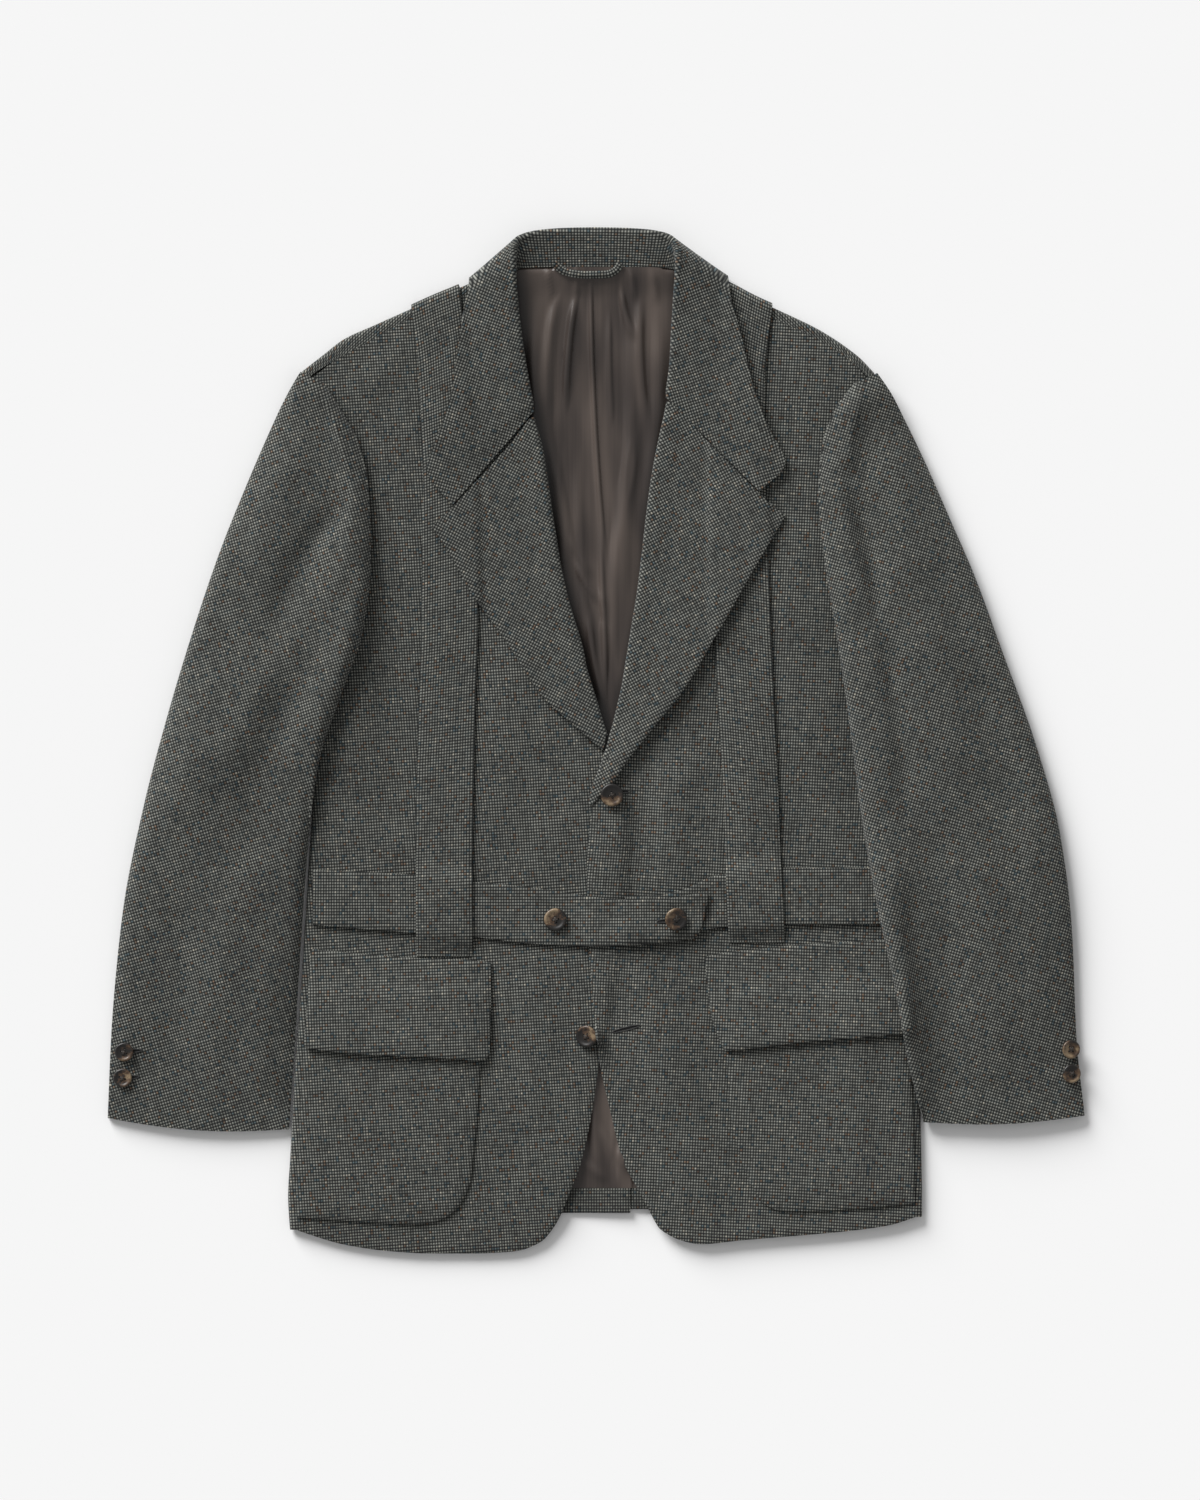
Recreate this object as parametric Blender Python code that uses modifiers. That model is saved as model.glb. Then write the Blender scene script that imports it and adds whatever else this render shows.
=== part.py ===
# A tweed norfolk jacket laid flat on its back, collar towards +Y, seen from +Z.
# Right and left are the wearer's: right is -X. All sizes below are in millimetres.
import math

import bpy
import numpy as np
from mathutils import Vector
from mathutils.bvhtree import BVHTree

MM = 0.001
NAME = "norfolk_jacket"

TWEED = 2.0             # wall of the outer cloth
LINING = 0.8            # wall of the lining
SEAM = 0.3              # gap between pieces that meet at a seam
HIDDEN_SEAM = 0.8       # the same where the two edges are curved and out of sight
BACK_SIDE_GAP = 3.0     # between the back and what the fronts turn under
REST = 0.5              # gap between a piece and what it lies on
FRONT_LEVEL = 7.0       # middle of the fronts' wall over the floor
SIDE_ROLL = 4.5         # how far the fronts' side roll reaches in
SIDE_TURN = 18.0        # how much of a front lies under the jacket
ROLL_STEPS = 5
BAND_ROLL = 3.0         # how far the shoulder roll reaches in
TIP_DIP = 2.5           # dip of a front's top end under the sleeve head
NECK_LIFT = 2.4         # rise of the back panel over the folded collar
NECK_START = 265.0
BACK_CEILING = 5.4      # a height between the back panel and the shoulder band over it
HEM_DROP = 2.0          # how much the fronts sink below the back's hem
VENT_STEP = 1.2         # lift of the vent's upper edge
VENT_TOP = -190.0
VENT_OVERLAP = -12.0    # x where the right back starts to rise over the left one
LAPEL_LEAST_GAP = 0.8   # between a lapel and the cloth turned under it
STRAP_FOOT = 2.4        # height of a strap's end behind the shoulder
BELT_ENDS = {"right": -226.0, "left": (24.0, 241.0)}
SLEEVE_BASE_LIFT = 0.1
BACK_HEM = {"right": -379.0, "left": -376.0}
THIN_TWEED = 1.6        # wall of the patch pockets, the hem turn and the loop
SEAM_FOOT = 28.0        # x of the centre seam at the hem; it reaches 0 at the neck
BACK_NECK = 377.0       # y of the neck's seam
LINING_NECK = 376.4
LINING_FOOT = -359.0
POCKET_SIDE_GAP = 6.5   # between the pockets or flaps and the side line
LAPEL_CREST = 2.2       # rise of a lapel beside its roll
LAPEL_CREST_WIDTH = 30.0
LAPEL_ROLL = 2.2        # how far a lapel's roll reaches past the front's edge
LAPEL_CLEARANCE = 2.2   # hidden gap below the roll, between lapel and front
LAPEL_UNDER = 0.6       # least width of cloth turned under at the roll
LAPEL_UNDER_RATE = 30.0  # how fast that width may grow up the roll
LEFT_LAPEL_STAND_OFF = 3.0
ARMHOLE_START, ARMHOLE_END = 136.0, 236.0   # the side roll ends between these heights
SIGN = {"right": -1, "left": 1}

FRONT_BUTTON = 18.8
BELT_BUTTON = 18.0
CUFF_BUTTON = 15.0
BUTTON_HEIGHT = 3.4


class Table:
    # Rows of named columns, read between rows along a curve that doesn't overshoot.
    def __init__(self, columns, *rows):
        self.columns = columns.split()
        self.rows = np.array(rows, float)

    def slope(self, values, i):
        keys = self.rows[:, 0]
        if i in (0, len(keys) - 1):
            j = max(i, 1)
            return (values[j] - values[j - 1]) / (keys[j] - keys[j - 1])
        before = (values[i] - values[i - 1]) / (keys[i] - keys[i - 1])
        after = (values[i + 1] - values[i]) / (keys[i + 1] - keys[i])
        if before * after <= 0:
            return 0.0
        return 2 * before * after / (before + after)

    def __call__(self, column, at):
        keys = self.rows[:, 0]
        values = self.rows[:, self.columns.index(column)]
        at = min(max(at, keys[0]), keys[-1])
        i = min(max(int(np.searchsorted(keys, at)), 1), len(keys) - 1)
        span = keys[i] - keys[i - 1]
        t = (at - keys[i - 1]) / span
        start = self.slope(values, i - 1) * span
        end = self.slope(values, i) * span
        return (values[i - 1] * (1 + 2 * t) * (1 - t) ** 2 + start * t * (1 - t) ** 2
                + values[i] * t * t * (3 - 2 * t) + end * t * t * (t - 1))


BODY = Table(
    "y side_right edge_right edge_left side_left",
    (-400, -243.5, -41.0, 56.0, 261.0),
    (-385, -244.8, -30.5, 47.6, 261.0),
    (-365, -245.8, -22.0, 37.2, 261.0),
    (-337, -244.2, -11.6, 22.3, 260.6),
    (-300, -242.2, -3.5, 12.8, 259.8),
    (-257, -239.8, 2.8, 3.4, 257.2),
    (-209, -236.0, 10.8, -1.8, 254.0),
    (-153, -232.5, 18.8, -5.8, 249.3),
    (-97, -229.0, 24.0, -6.4, 244.5),
    (-49, -226.0, 25.2, -1.0, 239.8),
    (-23, -224.8, 12.0, 9.5, 237.6),
    (-12, -224.2, 8.6, 13.0, 236.6),
    (1, -223.5, -3.6, 17.0, 235.4),
    (31, -221.5, -9.6, 25.0, 232.0),
    (66, -218.5, -14.8, 31.0, 227.2),
    (111, -210.5, -27.6, 38.4, 218.5),
    (152, -199.6, -36.6, 45.3, 206.8),
    (203, -196.0, -46.0, 52.0, 199.3),
    (258, -208.0, -55.0, 61.4, 204.3),
    (291, -229.2, -62.0, 67.0, 219.6),
    (359, -250.0, -74.8, 76.0, 240.0),
)

HEM = {
    "right": Table("x y", (-244, -390), (-232, -394.5), (-200, -404), (-166, -409), (-132, -411),
                   (-96, -411), (-72, -410), (-60, -408.5), (-48, -404), (-40, -399)),
    "left": Table("x y", (51, -391), (57, -395), (67, -400), (84, -403.5), (116, -400.5),
                  (170, -396), (202, -393), (234, -388.5), (261, -380)),
}

SHOULDER = {
    "right": Table("x seam edge", (-234, 286, 294), (-216, 298, 308), (-201, 306.5, 319.5),
                   (-176, 320.5, 331), (-148, 336, 343.5), (-128, 345, 352.5), (-111, 352.5, 359.5),
                   (-92, 358.5, 368), (-75, 360, 376)),
    "left": Table("x seam edge", (76, 362, 377.5), (92, 360.5, 369.5), (109, 352.5, 361),
                  (128, 343, 351), (149, 333, 341.5), (176, 320, 328.5), (191, 311.5, 319.5),
                  (201, 304, 312.5), (210, 296.5, 305.5), (222, 284.5, 293)),
}

LINING_EDGE = Table("y right left", (-359, -214, 232), (0, -194, 206), (180, -168, 172),
                    (290, -160, 160), (320, -148, 148), (350, -108, 108), (376, -69, 69))

STRAP = {
    "right": Table("y inner outer", (-174, -98.8, -142.8), (-100, -98.8, -143.2), (-45, -98, -142.8),
                   (31, -96.4, -140.4), (97, -94.3, -138.8), (166, -95, -138), (207, -97, -137.2),
                   (255, -100.4, -138.8), (303, -103.6, -141.2), (331, -106, -145), (358, -109, -149)),
    "left": Table("y inner outer", (-163, 106.8, 150.8), (-100, 104.4, 147.6), (-58, 103.6, 146),
                  (31, 98, 142), (111, 94.8, 138.8), (175, 93.2, 137), (239, 93.2, 134.5),
                  (287, 94.8, 134.8), (327, 99.5, 138.5), (362, 105, 144)),
}
STRAP_END = {"right": -173.5, "left": -162.5}

BELT = {
    "right": Table("x top low", (-226, -105, -148), (-188, -106.4, -151), (-145, -108.8, -154.4),
                   (-98, -114.4, -157.6), (-48, -119.2, -163.2), (3, -127, -165), (28, -128.8, -164),
                   (54, -128, -161.5), (75, -124.6, -159.2), (90, -121.6, -154)),
    "left": Table("x top low", (24, -126.4, -160.8), (54, -124.8, -158.4), (67, -121.4, -155),
                  (79, -116.8, -153), (92, -110.4, -151), (104, -108, -149.6), (149, -103.2, -148),
                  (216, -103.2, -147.3), (241, -103, -147.2)),
}
TAB_END = Table("y x", (-157, 80.5), (-147, 85.2), (-130, 88.4), (-121, 89.6))

POCKET = {
    "right": {"low": Table("x y", (-242, -381.5), (-180, -385.6), (-146, -387.2), (-130, -385.6),
                           (-118, -380.5), (-109, -373)),
              "inner": Table("y x", (-373, -109), (-353, -100.4), (-330, -98), (-296, -94.5),
                             (-250, -92.5), (-205, -92))},
    "left": {"low": Table("x y", (133, -369.6), (140, -374), (148.4, -376.6), (170, -376.8),
                          (213, -374.4), (258, -370.4)),
             "inner": Table("y x", (-369.6, 133), (-356, 125), (-335, 116.4), (-302, 108.8),
                            (-251, 105), (-205, 101))},
}
POCKET_TOP = -205.0

FLAP = {
    "right": {"top": Table("x y", (-238, -167.2), (-143, -175.4), (-99.6, -177), (-83, -179)),
              "low": Table("x y", (-240, -244), (-211, -249), (-171, -252), (-130, -253.6),
                           (-91, -256), (-86, -254)),
              "inner": Table("y x", (-256, -86.5), (-249, -85.2), (-214, -84.4), (-179, -83.8))},
    "left": {"top": Table("x y", (87, -174.4), (107, -170.5), (133, -168), (149, -166),
                          (234, -160.8), (252, -160)),
             "low": Table("x y", (103.6, -248.8), (138, -244.8), (180, -240), (213, -237.6),
                          (252, -234)),
             "inner": Table("y x", (-249, 103.6), (-235, 97.5), (-216.8, 92.4), (-174, 87.6))},
}

LAPEL = {
    "right": {"late": 0.85, "roll_share": 0.15,
              "roll": ((9.6, 3), (-10, 66.4), (-22.8, 111.2), (-33.2, 172.8), (-42.6, 233.6),
                       (-49.5, 257)),
              "outer": ((6, -8.5), (-7, 2.6), (-19.9, 13.9), (-42, 34.2), (-70.4, 77.4), (-102, 121.6),
                        (-115.6, 147.2), (-130.4, 170)),
              "gorge": ((-49.5, 257), (-57, 247.6), (-78.8, 222.6), (-115.6, 183.4), (-130.4, 170))},
    "left": {"late": 0.0, "roll_share": 0.22,
             "roll": ((-1, -43.5), (6, -18.4), (14.8, 15.2), (26.8, 71.2), (34.4, 125.6),
                      (44.4, 207.2), (57.2, 270.5)),
             "outer": ((15.2, -33), (22.4, -21), (45, 8.2), (68.7, 37.6), (97.2, 84.8),
                       (126.5, 136.3), (151.6, 178.6)),
             "gorge": ((57.2, 269.3), (79.4, 247.8), (110.8, 213), (130.8, 194.4), (151.6, 178.6))},
}

# Half collars from the gorge seam round to the middle of the back: the neck seam, the roll
# line and the outer edge. Lean turns from 0, fall over stand, to 180, stand over fall.
# Drop says how quickly the fall sinks from its roll.
COLLAR = {
    "right": Table(
        "at seam_x seam_y seam_z roll_x roll_y roll_z edge_x edge_y edge_z lean drop",
        (0, -53.2, 259, 7.0, -49.5, 261.5, 10.6, -114.4, 186.5, 10, 0, 1),
        (1, -54.4, 266, 7.0, -51, 270, 11, -134.8, 215, 10, 0, 1),
        (2, -58.6, 284, 7.0, -55, 291, 12, -127, 240, 10.5, 0, 1),
        (3, -63.8, 311, 7.2, -59.5, 320, 14, -115.6, 274, 11, 5, 1),
        (4, -68.4, 336, 8, -62.5, 345, 16, -110, 311, 11.5, 15, 1),
        (5, -71.4, 354, 9.5, -64.5, 368, 19, -105.5, 340, 12, 35, 1),
        (6, -71, 365, 10, -65, 384, 21, -104.5, 353.5, 12.4, 60, 1),
        (7, -69, 370, 10, -65, 391, 21, -105.5, 361.8, 11.4, 75, 1.1),
        (8, -66, 373.5, 9.6, -63.5, 396.5, 19.5, -105, 368, 5.5, 90, 1.4),
        (9, -58, 376.4, 9.2, -57, 401.5, 16, -98, 366, 1.0, 125, 3.6),
        (10, -42, 377.2, 8.8, -43, 405.3, 13, -70, 364, 1.0, 155, 5),
        (11, -21, 377.4, 8.6, -22, 407, 11, -35, 362, 1.0, 172, 6),
        (12, 0, 377.4, 8.6, 0, 407.5, 10.4, 0, 361, 1.0, 180, 6)),
    "left": Table(
        "at seam_x seam_y seam_z roll_x roll_y roll_z edge_x edge_y edge_z lean drop",
        (0, 60.4, 270, 7.0, 56.6, 272.5, 10.6, 130.8, 197.6, 10, 0, 1),
        (1, 61.4, 275, 7.0, 57.6, 280, 11, 151.4, 220.6, 11, 0, 1),
        (2, 64.4, 291, 7.0, 60, 298, 12, 138, 249, 11, 0, 1),
        (3, 68.0, 316, 7.2, 61.5, 325, 14, 124.6, 286, 11.5, 5, 1),
        (4, 70, 338, 8, 62.8, 347, 16, 115.6, 325, 12, 15, 1),
        (5, 72.6, 354, 9.5, 64.5, 368, 19, 108.5, 349, 12.4, 35, 1),
        (6, 72, 365, 10, 65.5, 382, 21, 107, 357.5, 12.4, 60, 1),
        (7, 69.5, 370.5, 10, 65.5, 389, 21, 106, 364, 11.4, 75, 1.1),
        (8, 66, 373.5, 9.6, 63, 396, 19.5, 104.8, 369.6, 5.5, 90, 1.4),
        (9, 58, 376.4, 9.2, 57, 401.5, 16, 98, 367.5, 1.0, 125, 3.6),
        (10, 42, 377.2, 8.8, 43, 405.3, 13, 70, 364, 1.0, 155, 5),
        (11, 21, 377.4, 8.6, 22, 407, 11, 35, 362, 1.0, 172, 6),
        (12, 0, 377.4, 8.6, 0, 407.5, 10.4, 0, 361, 1.0, 180, 6)),
}
COLLAR_ROLL = 2.0       # half the distance between stand and fall beside the roll

# Sleeve sections from the cuff to the shoulder: the two folds, and the height between the
# two walls at the inner fold, in the middle and at the outer fold.
SLEEVE = {
    "right": Table(
        "at outer_x outer_y inner_x inner_y rise_in rise_mid rise_out",
        (0, -390, -303, -245, -317, 9, 11, 8),
        (1, -387, -235, -240.8, -250, 11, 14, 10),
        (2, -378, -140, -235.8, -170, 13, 16, 12),
        (3, -362, -58, -230, -90, 14, 17, 13),
        (4, -343, 15, -221, -20, 14, 17, 13),
        (5, -322, 85, -203, 35, 13, 17, 13),
        (6, -300, 150, -186, 85, 12, 17, 13),
        (7, -280, 200, -179.3, 140, 9, 16, 12),
        (8, -262, 242, -181, 195, 6, 14, 11),
        (9, -249, 270, -188, 232, 5, 12, 10),
        (10, -240, 286, -201, 258, 5.4, 10, 8),
        (11, -235.5, 293, -217, 284, 5.8, 8, 7)),
    "left": Table(
        "at outer_x outer_y inner_x inner_y rise_in rise_mid rise_out",
        (0, 391, -301, 262, -306, 9, 11, 8),
        (1, 384.5, -240, 249, -255, 11, 14, 10),
        (2, 380.5, -150, 238, -195, 13, 16, 12),
        (3, 371, -75, 224, -130, 14, 17, 13),
        (4, 352, -5, 212, -60, 14, 17, 13),
        (5, 325, 70, 203, 10, 13, 17, 13),
        (6, 303, 130, 193, 80, 12, 17, 13),
        (7, 284, 174, 182.5, 145, 9, 16, 12),
        (8, 262, 224, 178, 198, 6, 14, 11),
        (9, 248, 253, 181, 234, 5, 12, 10),
        (10, 236, 276, 191, 262, 5.4, 10, 8),
        (11, 225, 292, 206, 283, 5.8, 8, 7)),
}
SLEEVE_FOLD = 11.0      # how far a sleeve's folds round in
SLEEVE_SEAM_RISE = 1.4  # upright part of a sleeve's wall beside its seams
CUFF_BOW = 6.0          # bow of the cuff's edge

BUTTONS = {
    "button_front_top": (12.8, -45.2, FRONT_BUTTON),
    "button_belt_right": (-32.1, -144.2, BELT_BUTTON),
    "button_belt_left": (63.8, -143.2, BELT_BUTTON),
    "button_cuff_right_upper": (-376.4, -249.9, CUFF_BUTTON),
    "button_cuff_right_lower": (-377.6, -270.7, CUFF_BUTTON),
    "button_cuff_left_upper": (379.0, -247.7, CUFF_BUTTON),
    "button_cuff_left_lower": (379.6, -267.2, CUFF_BUTTON),
}
LOWER_BUTTON = (-6.0, -237.6, FRONT_BUTTON)

LOOP = Table("at x y z", (0, -33, 378.5, 1.0), (1, -24, 373.2, 2.6), (2, -6, 371, 3.2),
             (3, 10, 372.2, 2.8), (4, 18.5, 376, 1.4), (5, 22, 381, 1.0))
LOOP_WIDTH = 6.0
LOOP_CROWN = 0.6


def ease(t):
    t = min(max(t, 0.0), 1.0)
    return t * t * (3 - 2 * t)


def mix(a, b, t):
    return a + (b - a) * t


def spread(count, ends=0.5):
    # Stations from 0 to 1, closer together towards both ends.
    return [mix(k / count, (1 - math.cos(math.pi * k / count)) / 2, ends) for k in range(count + 1)]


def route(points):
    # A smooth curve through a few points, read from 0 to 1 along its length.
    lengths = [0.0]
    for a, b in zip(points, points[1:]):
        lengths.append(lengths[-1] + math.dist(a, b))
    table = Table("at x y", *[(s / lengths[-1], *p) for s, p in zip(lengths, points)])
    return lambda t: (table("x", t), table("y", t))


def panel(inner, outer, low, high, columns, rows):
    # Plan of a panel between two edges x(y) and two ends y(x).
    def x_at(u, y):
        return mix(inner(y), outer(y), u)

    def meet(u, end, y):
        for _ in range(12):
            y = end(x_at(u, y))
        return y

    plan = np.zeros((len(rows), len(columns), 2))
    for j, u in enumerate(columns):
        start, stop = meet(u, low, -300.0), meet(u, high, 300.0)
        for i, v in enumerate(rows):
            y = mix(start, stop, v)
            plan[i, j] = x_at(u, y), y
    return plan


def strip(first, second, columns, rows):
    # Plan of a patch between two routes, joined by straight rows.
    plan = np.zeros((len(rows), len(columns), 2))
    for i, v in enumerate(rows):
        a, b = np.array(first(v)), np.array(second(v))
        for j, u in enumerate(columns):
            plan[i, j] = mix(a, b, u)
    return plan


class Wardrobe:
    # The pieces made so far, and the search trees that later pieces are laid on.
    def __init__(self):
        self.collection = bpy.data.collections.new(NAME)
        bpy.context.scene.collection.children.link(self.collection)
        self.trees = {}

    def add(self, mesh_object):
        self.collection.objects.link(mesh_object)
        bpy.context.view_layer.update()
        shaped = mesh_object.evaluated_get(bpy.context.evaluated_depsgraph_get())
        mesh = shaped.to_mesh()
        corners = [mesh_object.matrix_world @ vertex.co for vertex in mesh.vertices]
        faces = [tuple(face.vertices) for face in mesh.polygons]
        self.trees[mesh_object.name] = BVHTree.FromPolygons(corners, faces)
        shaped.to_mesh_clear()
        return mesh_object

    def hit(self, x, y, under, ceiling=200.0):
        # Highest surface of the named pieces at a place, with its normal.
        best = (0.0, Vector((0, 0, 1)))
        for name in under:
            place, normal, _, _ = self.trees[name].ray_cast(
                Vector((x, y, ceiling)) * MM, Vector((0, 0, -1)))
            if place is not None and place.z / MM > best[0]:
                best = (place.z / MM, normal)
        return best

    def lay(self, plan, under, wall=TWEED, gap=REST, samples=4, ceiling=200.0):
        # Middle heights of a wall that lies on the named pieces: each cell of the plan
        # clears the highest surface below it.
        rows, columns = plan.shape[:2]
        top = np.zeros((rows, columns))
        for i in range(rows - 1):
            for j in range(columns - 1):
                highest = 0.0
                for a in range(samples + 1):
                    for b in range(samples + 1):
                        s, t = a / samples, b / samples
                        spot = mix(mix(plan[i, j], plan[i + 1, j], s),
                                   mix(plan[i, j + 1], plan[i + 1, j + 1], s), t)
                        highest = max(highest, self.hit(*spot, under, ceiling)[0])
                block = top[i:i + 2, j:j + 2]
                np.maximum(block, highest, out=block)
        return top + gap + wall / 2


def soften(heights, passes, axis=None):
    # Rounds a field of heights off without letting it sink anywhere.
    floor = heights.copy()
    for _ in range(passes):
        padded = np.pad(heights, 1, mode="edge")
        across = (padded[1:-1, :-2] + padded[1:-1, 2:]) / 2
        along = (padded[:-2, 1:-1] + padded[2:, 1:-1]) / 2
        mean = across if axis == 1 else along if axis == 0 else (across + along) / 2
        heights = np.maximum(floor, (heights + mean) / 2)
    return heights


def material(name, colour, roughness):
    # A plain Principled material with one colour and roughness.
    finish = bpy.data.materials.new(name)
    finish.use_nodes = True
    shader = finish.node_tree.nodes["Principled BSDF"]
    shader.inputs["Base Color"].default_value = (*colour, 1)
    shader.inputs["Roughness"].default_value = roughness
    shader.inputs["Metallic"].default_value = 0.0
    return finish


def cloth(wardrobe, name, grid, finish, wall=TWEED):
    # A sheet of cloth through a grid of points, given its wall by Solidify.
    rows, columns = grid.shape[:2]
    faces = [(i * columns + j, i * columns + j + 1, (i + 1) * columns + j + 1, (i + 1) * columns + j)
             for i in range(rows - 1) for j in range(columns - 1)]
    mesh = bpy.data.meshes.new(name)
    mesh.from_pydata([tuple(p * MM) for p in grid.reshape(-1, 3)], [], faces)
    mesh.materials.append(finish)
    mesh.shade_smooth()
    sheet = bpy.data.objects.new(name, mesh)
    solid = sheet.modifiers.new("wall", "SOLIDIFY")
    solid.thickness = wall * MM
    solid.offset = 0
    return wardrobe.add(sheet)


def raised(plan, heights):
    return np.dstack([plan, heights])


def back_level(x, y):
    # Middle of the back panel's wall: flat, raised over the folded collar at the neck.
    across = 1 - ease((abs(x) - 112) / 35)
    return TWEED / 2 + NECK_LIFT * ease((y - NECK_START) / 50) * across


def side_wrap(y):
    # 1 where the front rolls round the side, 0 along the armhole.
    return 1 - ease((y - ARMHOLE_START) / (ARMHOLE_END - ARMHOLE_START))


def side_path(level, wrap):
    # A front's section round its side, as distances from the side line and heights. Up the
    # armhole the part turned under gets shorter, and then the roll opens out flat.
    low = TWEED / 2
    bend = math.pi * max(0.08, min(1.0, 2 * wrap))
    opened = math.pi / bend
    wide, high = SIDE_ROLL * opened, (level - low) / 2 * opened
    start = wide if bend > math.pi / 2 else wide * math.sin(bend)
    path = []
    for k in range(ROLL_STEPS + 1):
        angle = bend * k / ROLL_STEPS
        path.append((start - wide * math.sin(angle), max(low, level - high * (1 - math.cos(angle)))))
    turn = mix(2.0, SIDE_TURN, max(0.0, 2 * wrap - 1))
    reach, height = path[-1]
    path.append((reach - turn * math.cos(bend), max(low, height - turn * math.sin(bend))))
    return path


def make_back(wardrobe, side, finish):
    sign = SIGN[side]
    shoulder = SHOULDER[side]
    neck_x = shoulder.rows[-1, 0] if side == "right" else shoulder.rows[0, 0]
    tip_x = shoulder.rows[0, 0] if side == "right" else shoulder.rows[-1, 0]
    hem = BACK_HEM[side]
    seam_foot, seam_head = SEAM_FOOT + sign * SEAM / 2, sign * SEAM / 2
    columns = spread(7, 0.2)

    def shoulder_point(u, column):
        x = mix(neck_x, tip_x, u)
        return np.array((x, shoulder(column, x)))

    def side_x(y):
        turned = TWEED / 2 + SIDE_ROLL + SIDE_TURN + BACK_SIDE_GAP
        return BODY("side_" + side, y) - sign * turned * (1 - ease((y - ARMHOLE_END) / 50))

    centre = [(mix(seam_foot, seam_head, t), mix(hem, BACK_NECK, t)) for t in spread(9, 0.2)]
    neck_end = shoulder_point(0, "edge")
    neck = [mix(np.array(centre[-1]), neck_end - (0, BAND_ROLL), t) for t in (0.35, 0.7)]
    inner = [np.array(p) for p in centre] + neck
    last = shoulder_point(1, "edge")[1] - 6
    heights = [mix(hem, last - 12, t) for t in spread(len(inner) - 1, 0.2)]
    grid = []
    for start, y in zip(inner, heights):
        end = np.array((side_x(y), y))
        row = [mix(start, end, u) for u in columns]
        grid.append([(*p, back_level(*p) + vent_lift(p, side)) for p in row])
    for angle in (-90, -45, 0, 45, 90):
        row = []
        for u in columns:
            edge, seam = shoulder_point(u, "edge"), shoulder_point(u, "seam")
            away = (edge - seam) / np.linalg.norm(edge - seam)
            turn = math.radians(angle)
            spot = edge - away * (TWEED / 2 + BAND_ROLL * (1 - math.cos(turn)))
            low = back_level(*spot)
            row.append((*spot, mix(low, FRONT_LEVEL, (1 + math.sin(turn)) / 2)))
        grid.append(row)
    grid.append([(*shoulder_point(u, "seam"), FRONT_LEVEL) for u in columns])
    return cloth(wardrobe, "back_" + side, np.array(grid, float), finish)


def vent_lift(spot, side):
    # The vent below the centre seam: the right back's edge lies a little higher.
    if side == "left":
        return 0.0
    x, y = spot
    return VENT_STEP * ease((x - VENT_OVERLAP) / 36) * ease((VENT_TOP - y) / 60)


def make_lining(wardrobe, finish):
    plan = panel(lambda y: LINING_EDGE("right", y), lambda y: LINING_EDGE("left", y),
                 lambda x: LINING_FOOT, lambda x: LINING_NECK, spread(10, 0.0), spread(14, 0.3))
    heights = wardrobe.lay(plan, ("back_right", "back_left"), LINING, SEAM, ceiling=BACK_CEILING)
    return cloth(wardrobe, "lining", raised(plan, heights), finish, LINING)


def make_hem_turn(wardrobe, side, finish):
    middle = SEAM_FOOT + SIGN[side] * SEAM
    far = LINING_EDGE(side, LINING_FOOT)
    low = BACK_HEM[side] + SEAM
    plan = panel(lambda y: middle, lambda y: far, lambda x: low, lambda x: LINING_FOOT - SEAM,
                 spread(8, 0.0), (0, 0.5, 1))
    heights = wardrobe.lay(plan, ("back_" + side,), THIN_TWEED, SEAM)
    return cloth(wardrobe, "hem_turn_" + side, raised(plan, heights), finish, THIN_TWEED)


def make_front(wardrobe, side, finish, under=()):
    sign = SIGN[side]

    def side_line(y):
        return BODY("side_" + side, y) - sign * TWEED / 2

    def flat_end(y):
        return side_line(y) - sign * side_path(FRONT_LEVEL, side_wrap(y))[0][0]

    def top(x):
        return SHOULDER[side]("seam", x) - HIDDEN_SEAM - TIP_DIP * ease((abs(x) - 200) / 25)

    plan = panel(lambda y: BODY("edge_" + side, y), flat_end, lambda x: HEM[side]("y", x), top,
                 spread(10, 0.35), spread(20, 0.25))
    heights = np.full(plan.shape[:2], FRONT_LEVEL)
    hem = BACK_HEM[side]
    for i, j in np.ndindex(heights.shape):
        heights[i, j] -= HEM_DROP * ease((hem - plan[i, j, 1]) / 30)
    if under:
        heights = np.maximum(heights, wardrobe.lay(plan, under, samples=8))
    grid = []
    for row, level in zip(plan, heights):
        y = row[-1][1]
        points = [(*p, z) for p, z in zip(row, level)]
        for reach, height in side_path(level[-1], side_wrap(y))[1:]:
            x = side_line(y) - sign * reach
            points.append((x, min(y, top(x)), height))
        grid.append(points)
    return cloth(wardrobe, "front_" + side, np.array(grid, float), finish)


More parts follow.
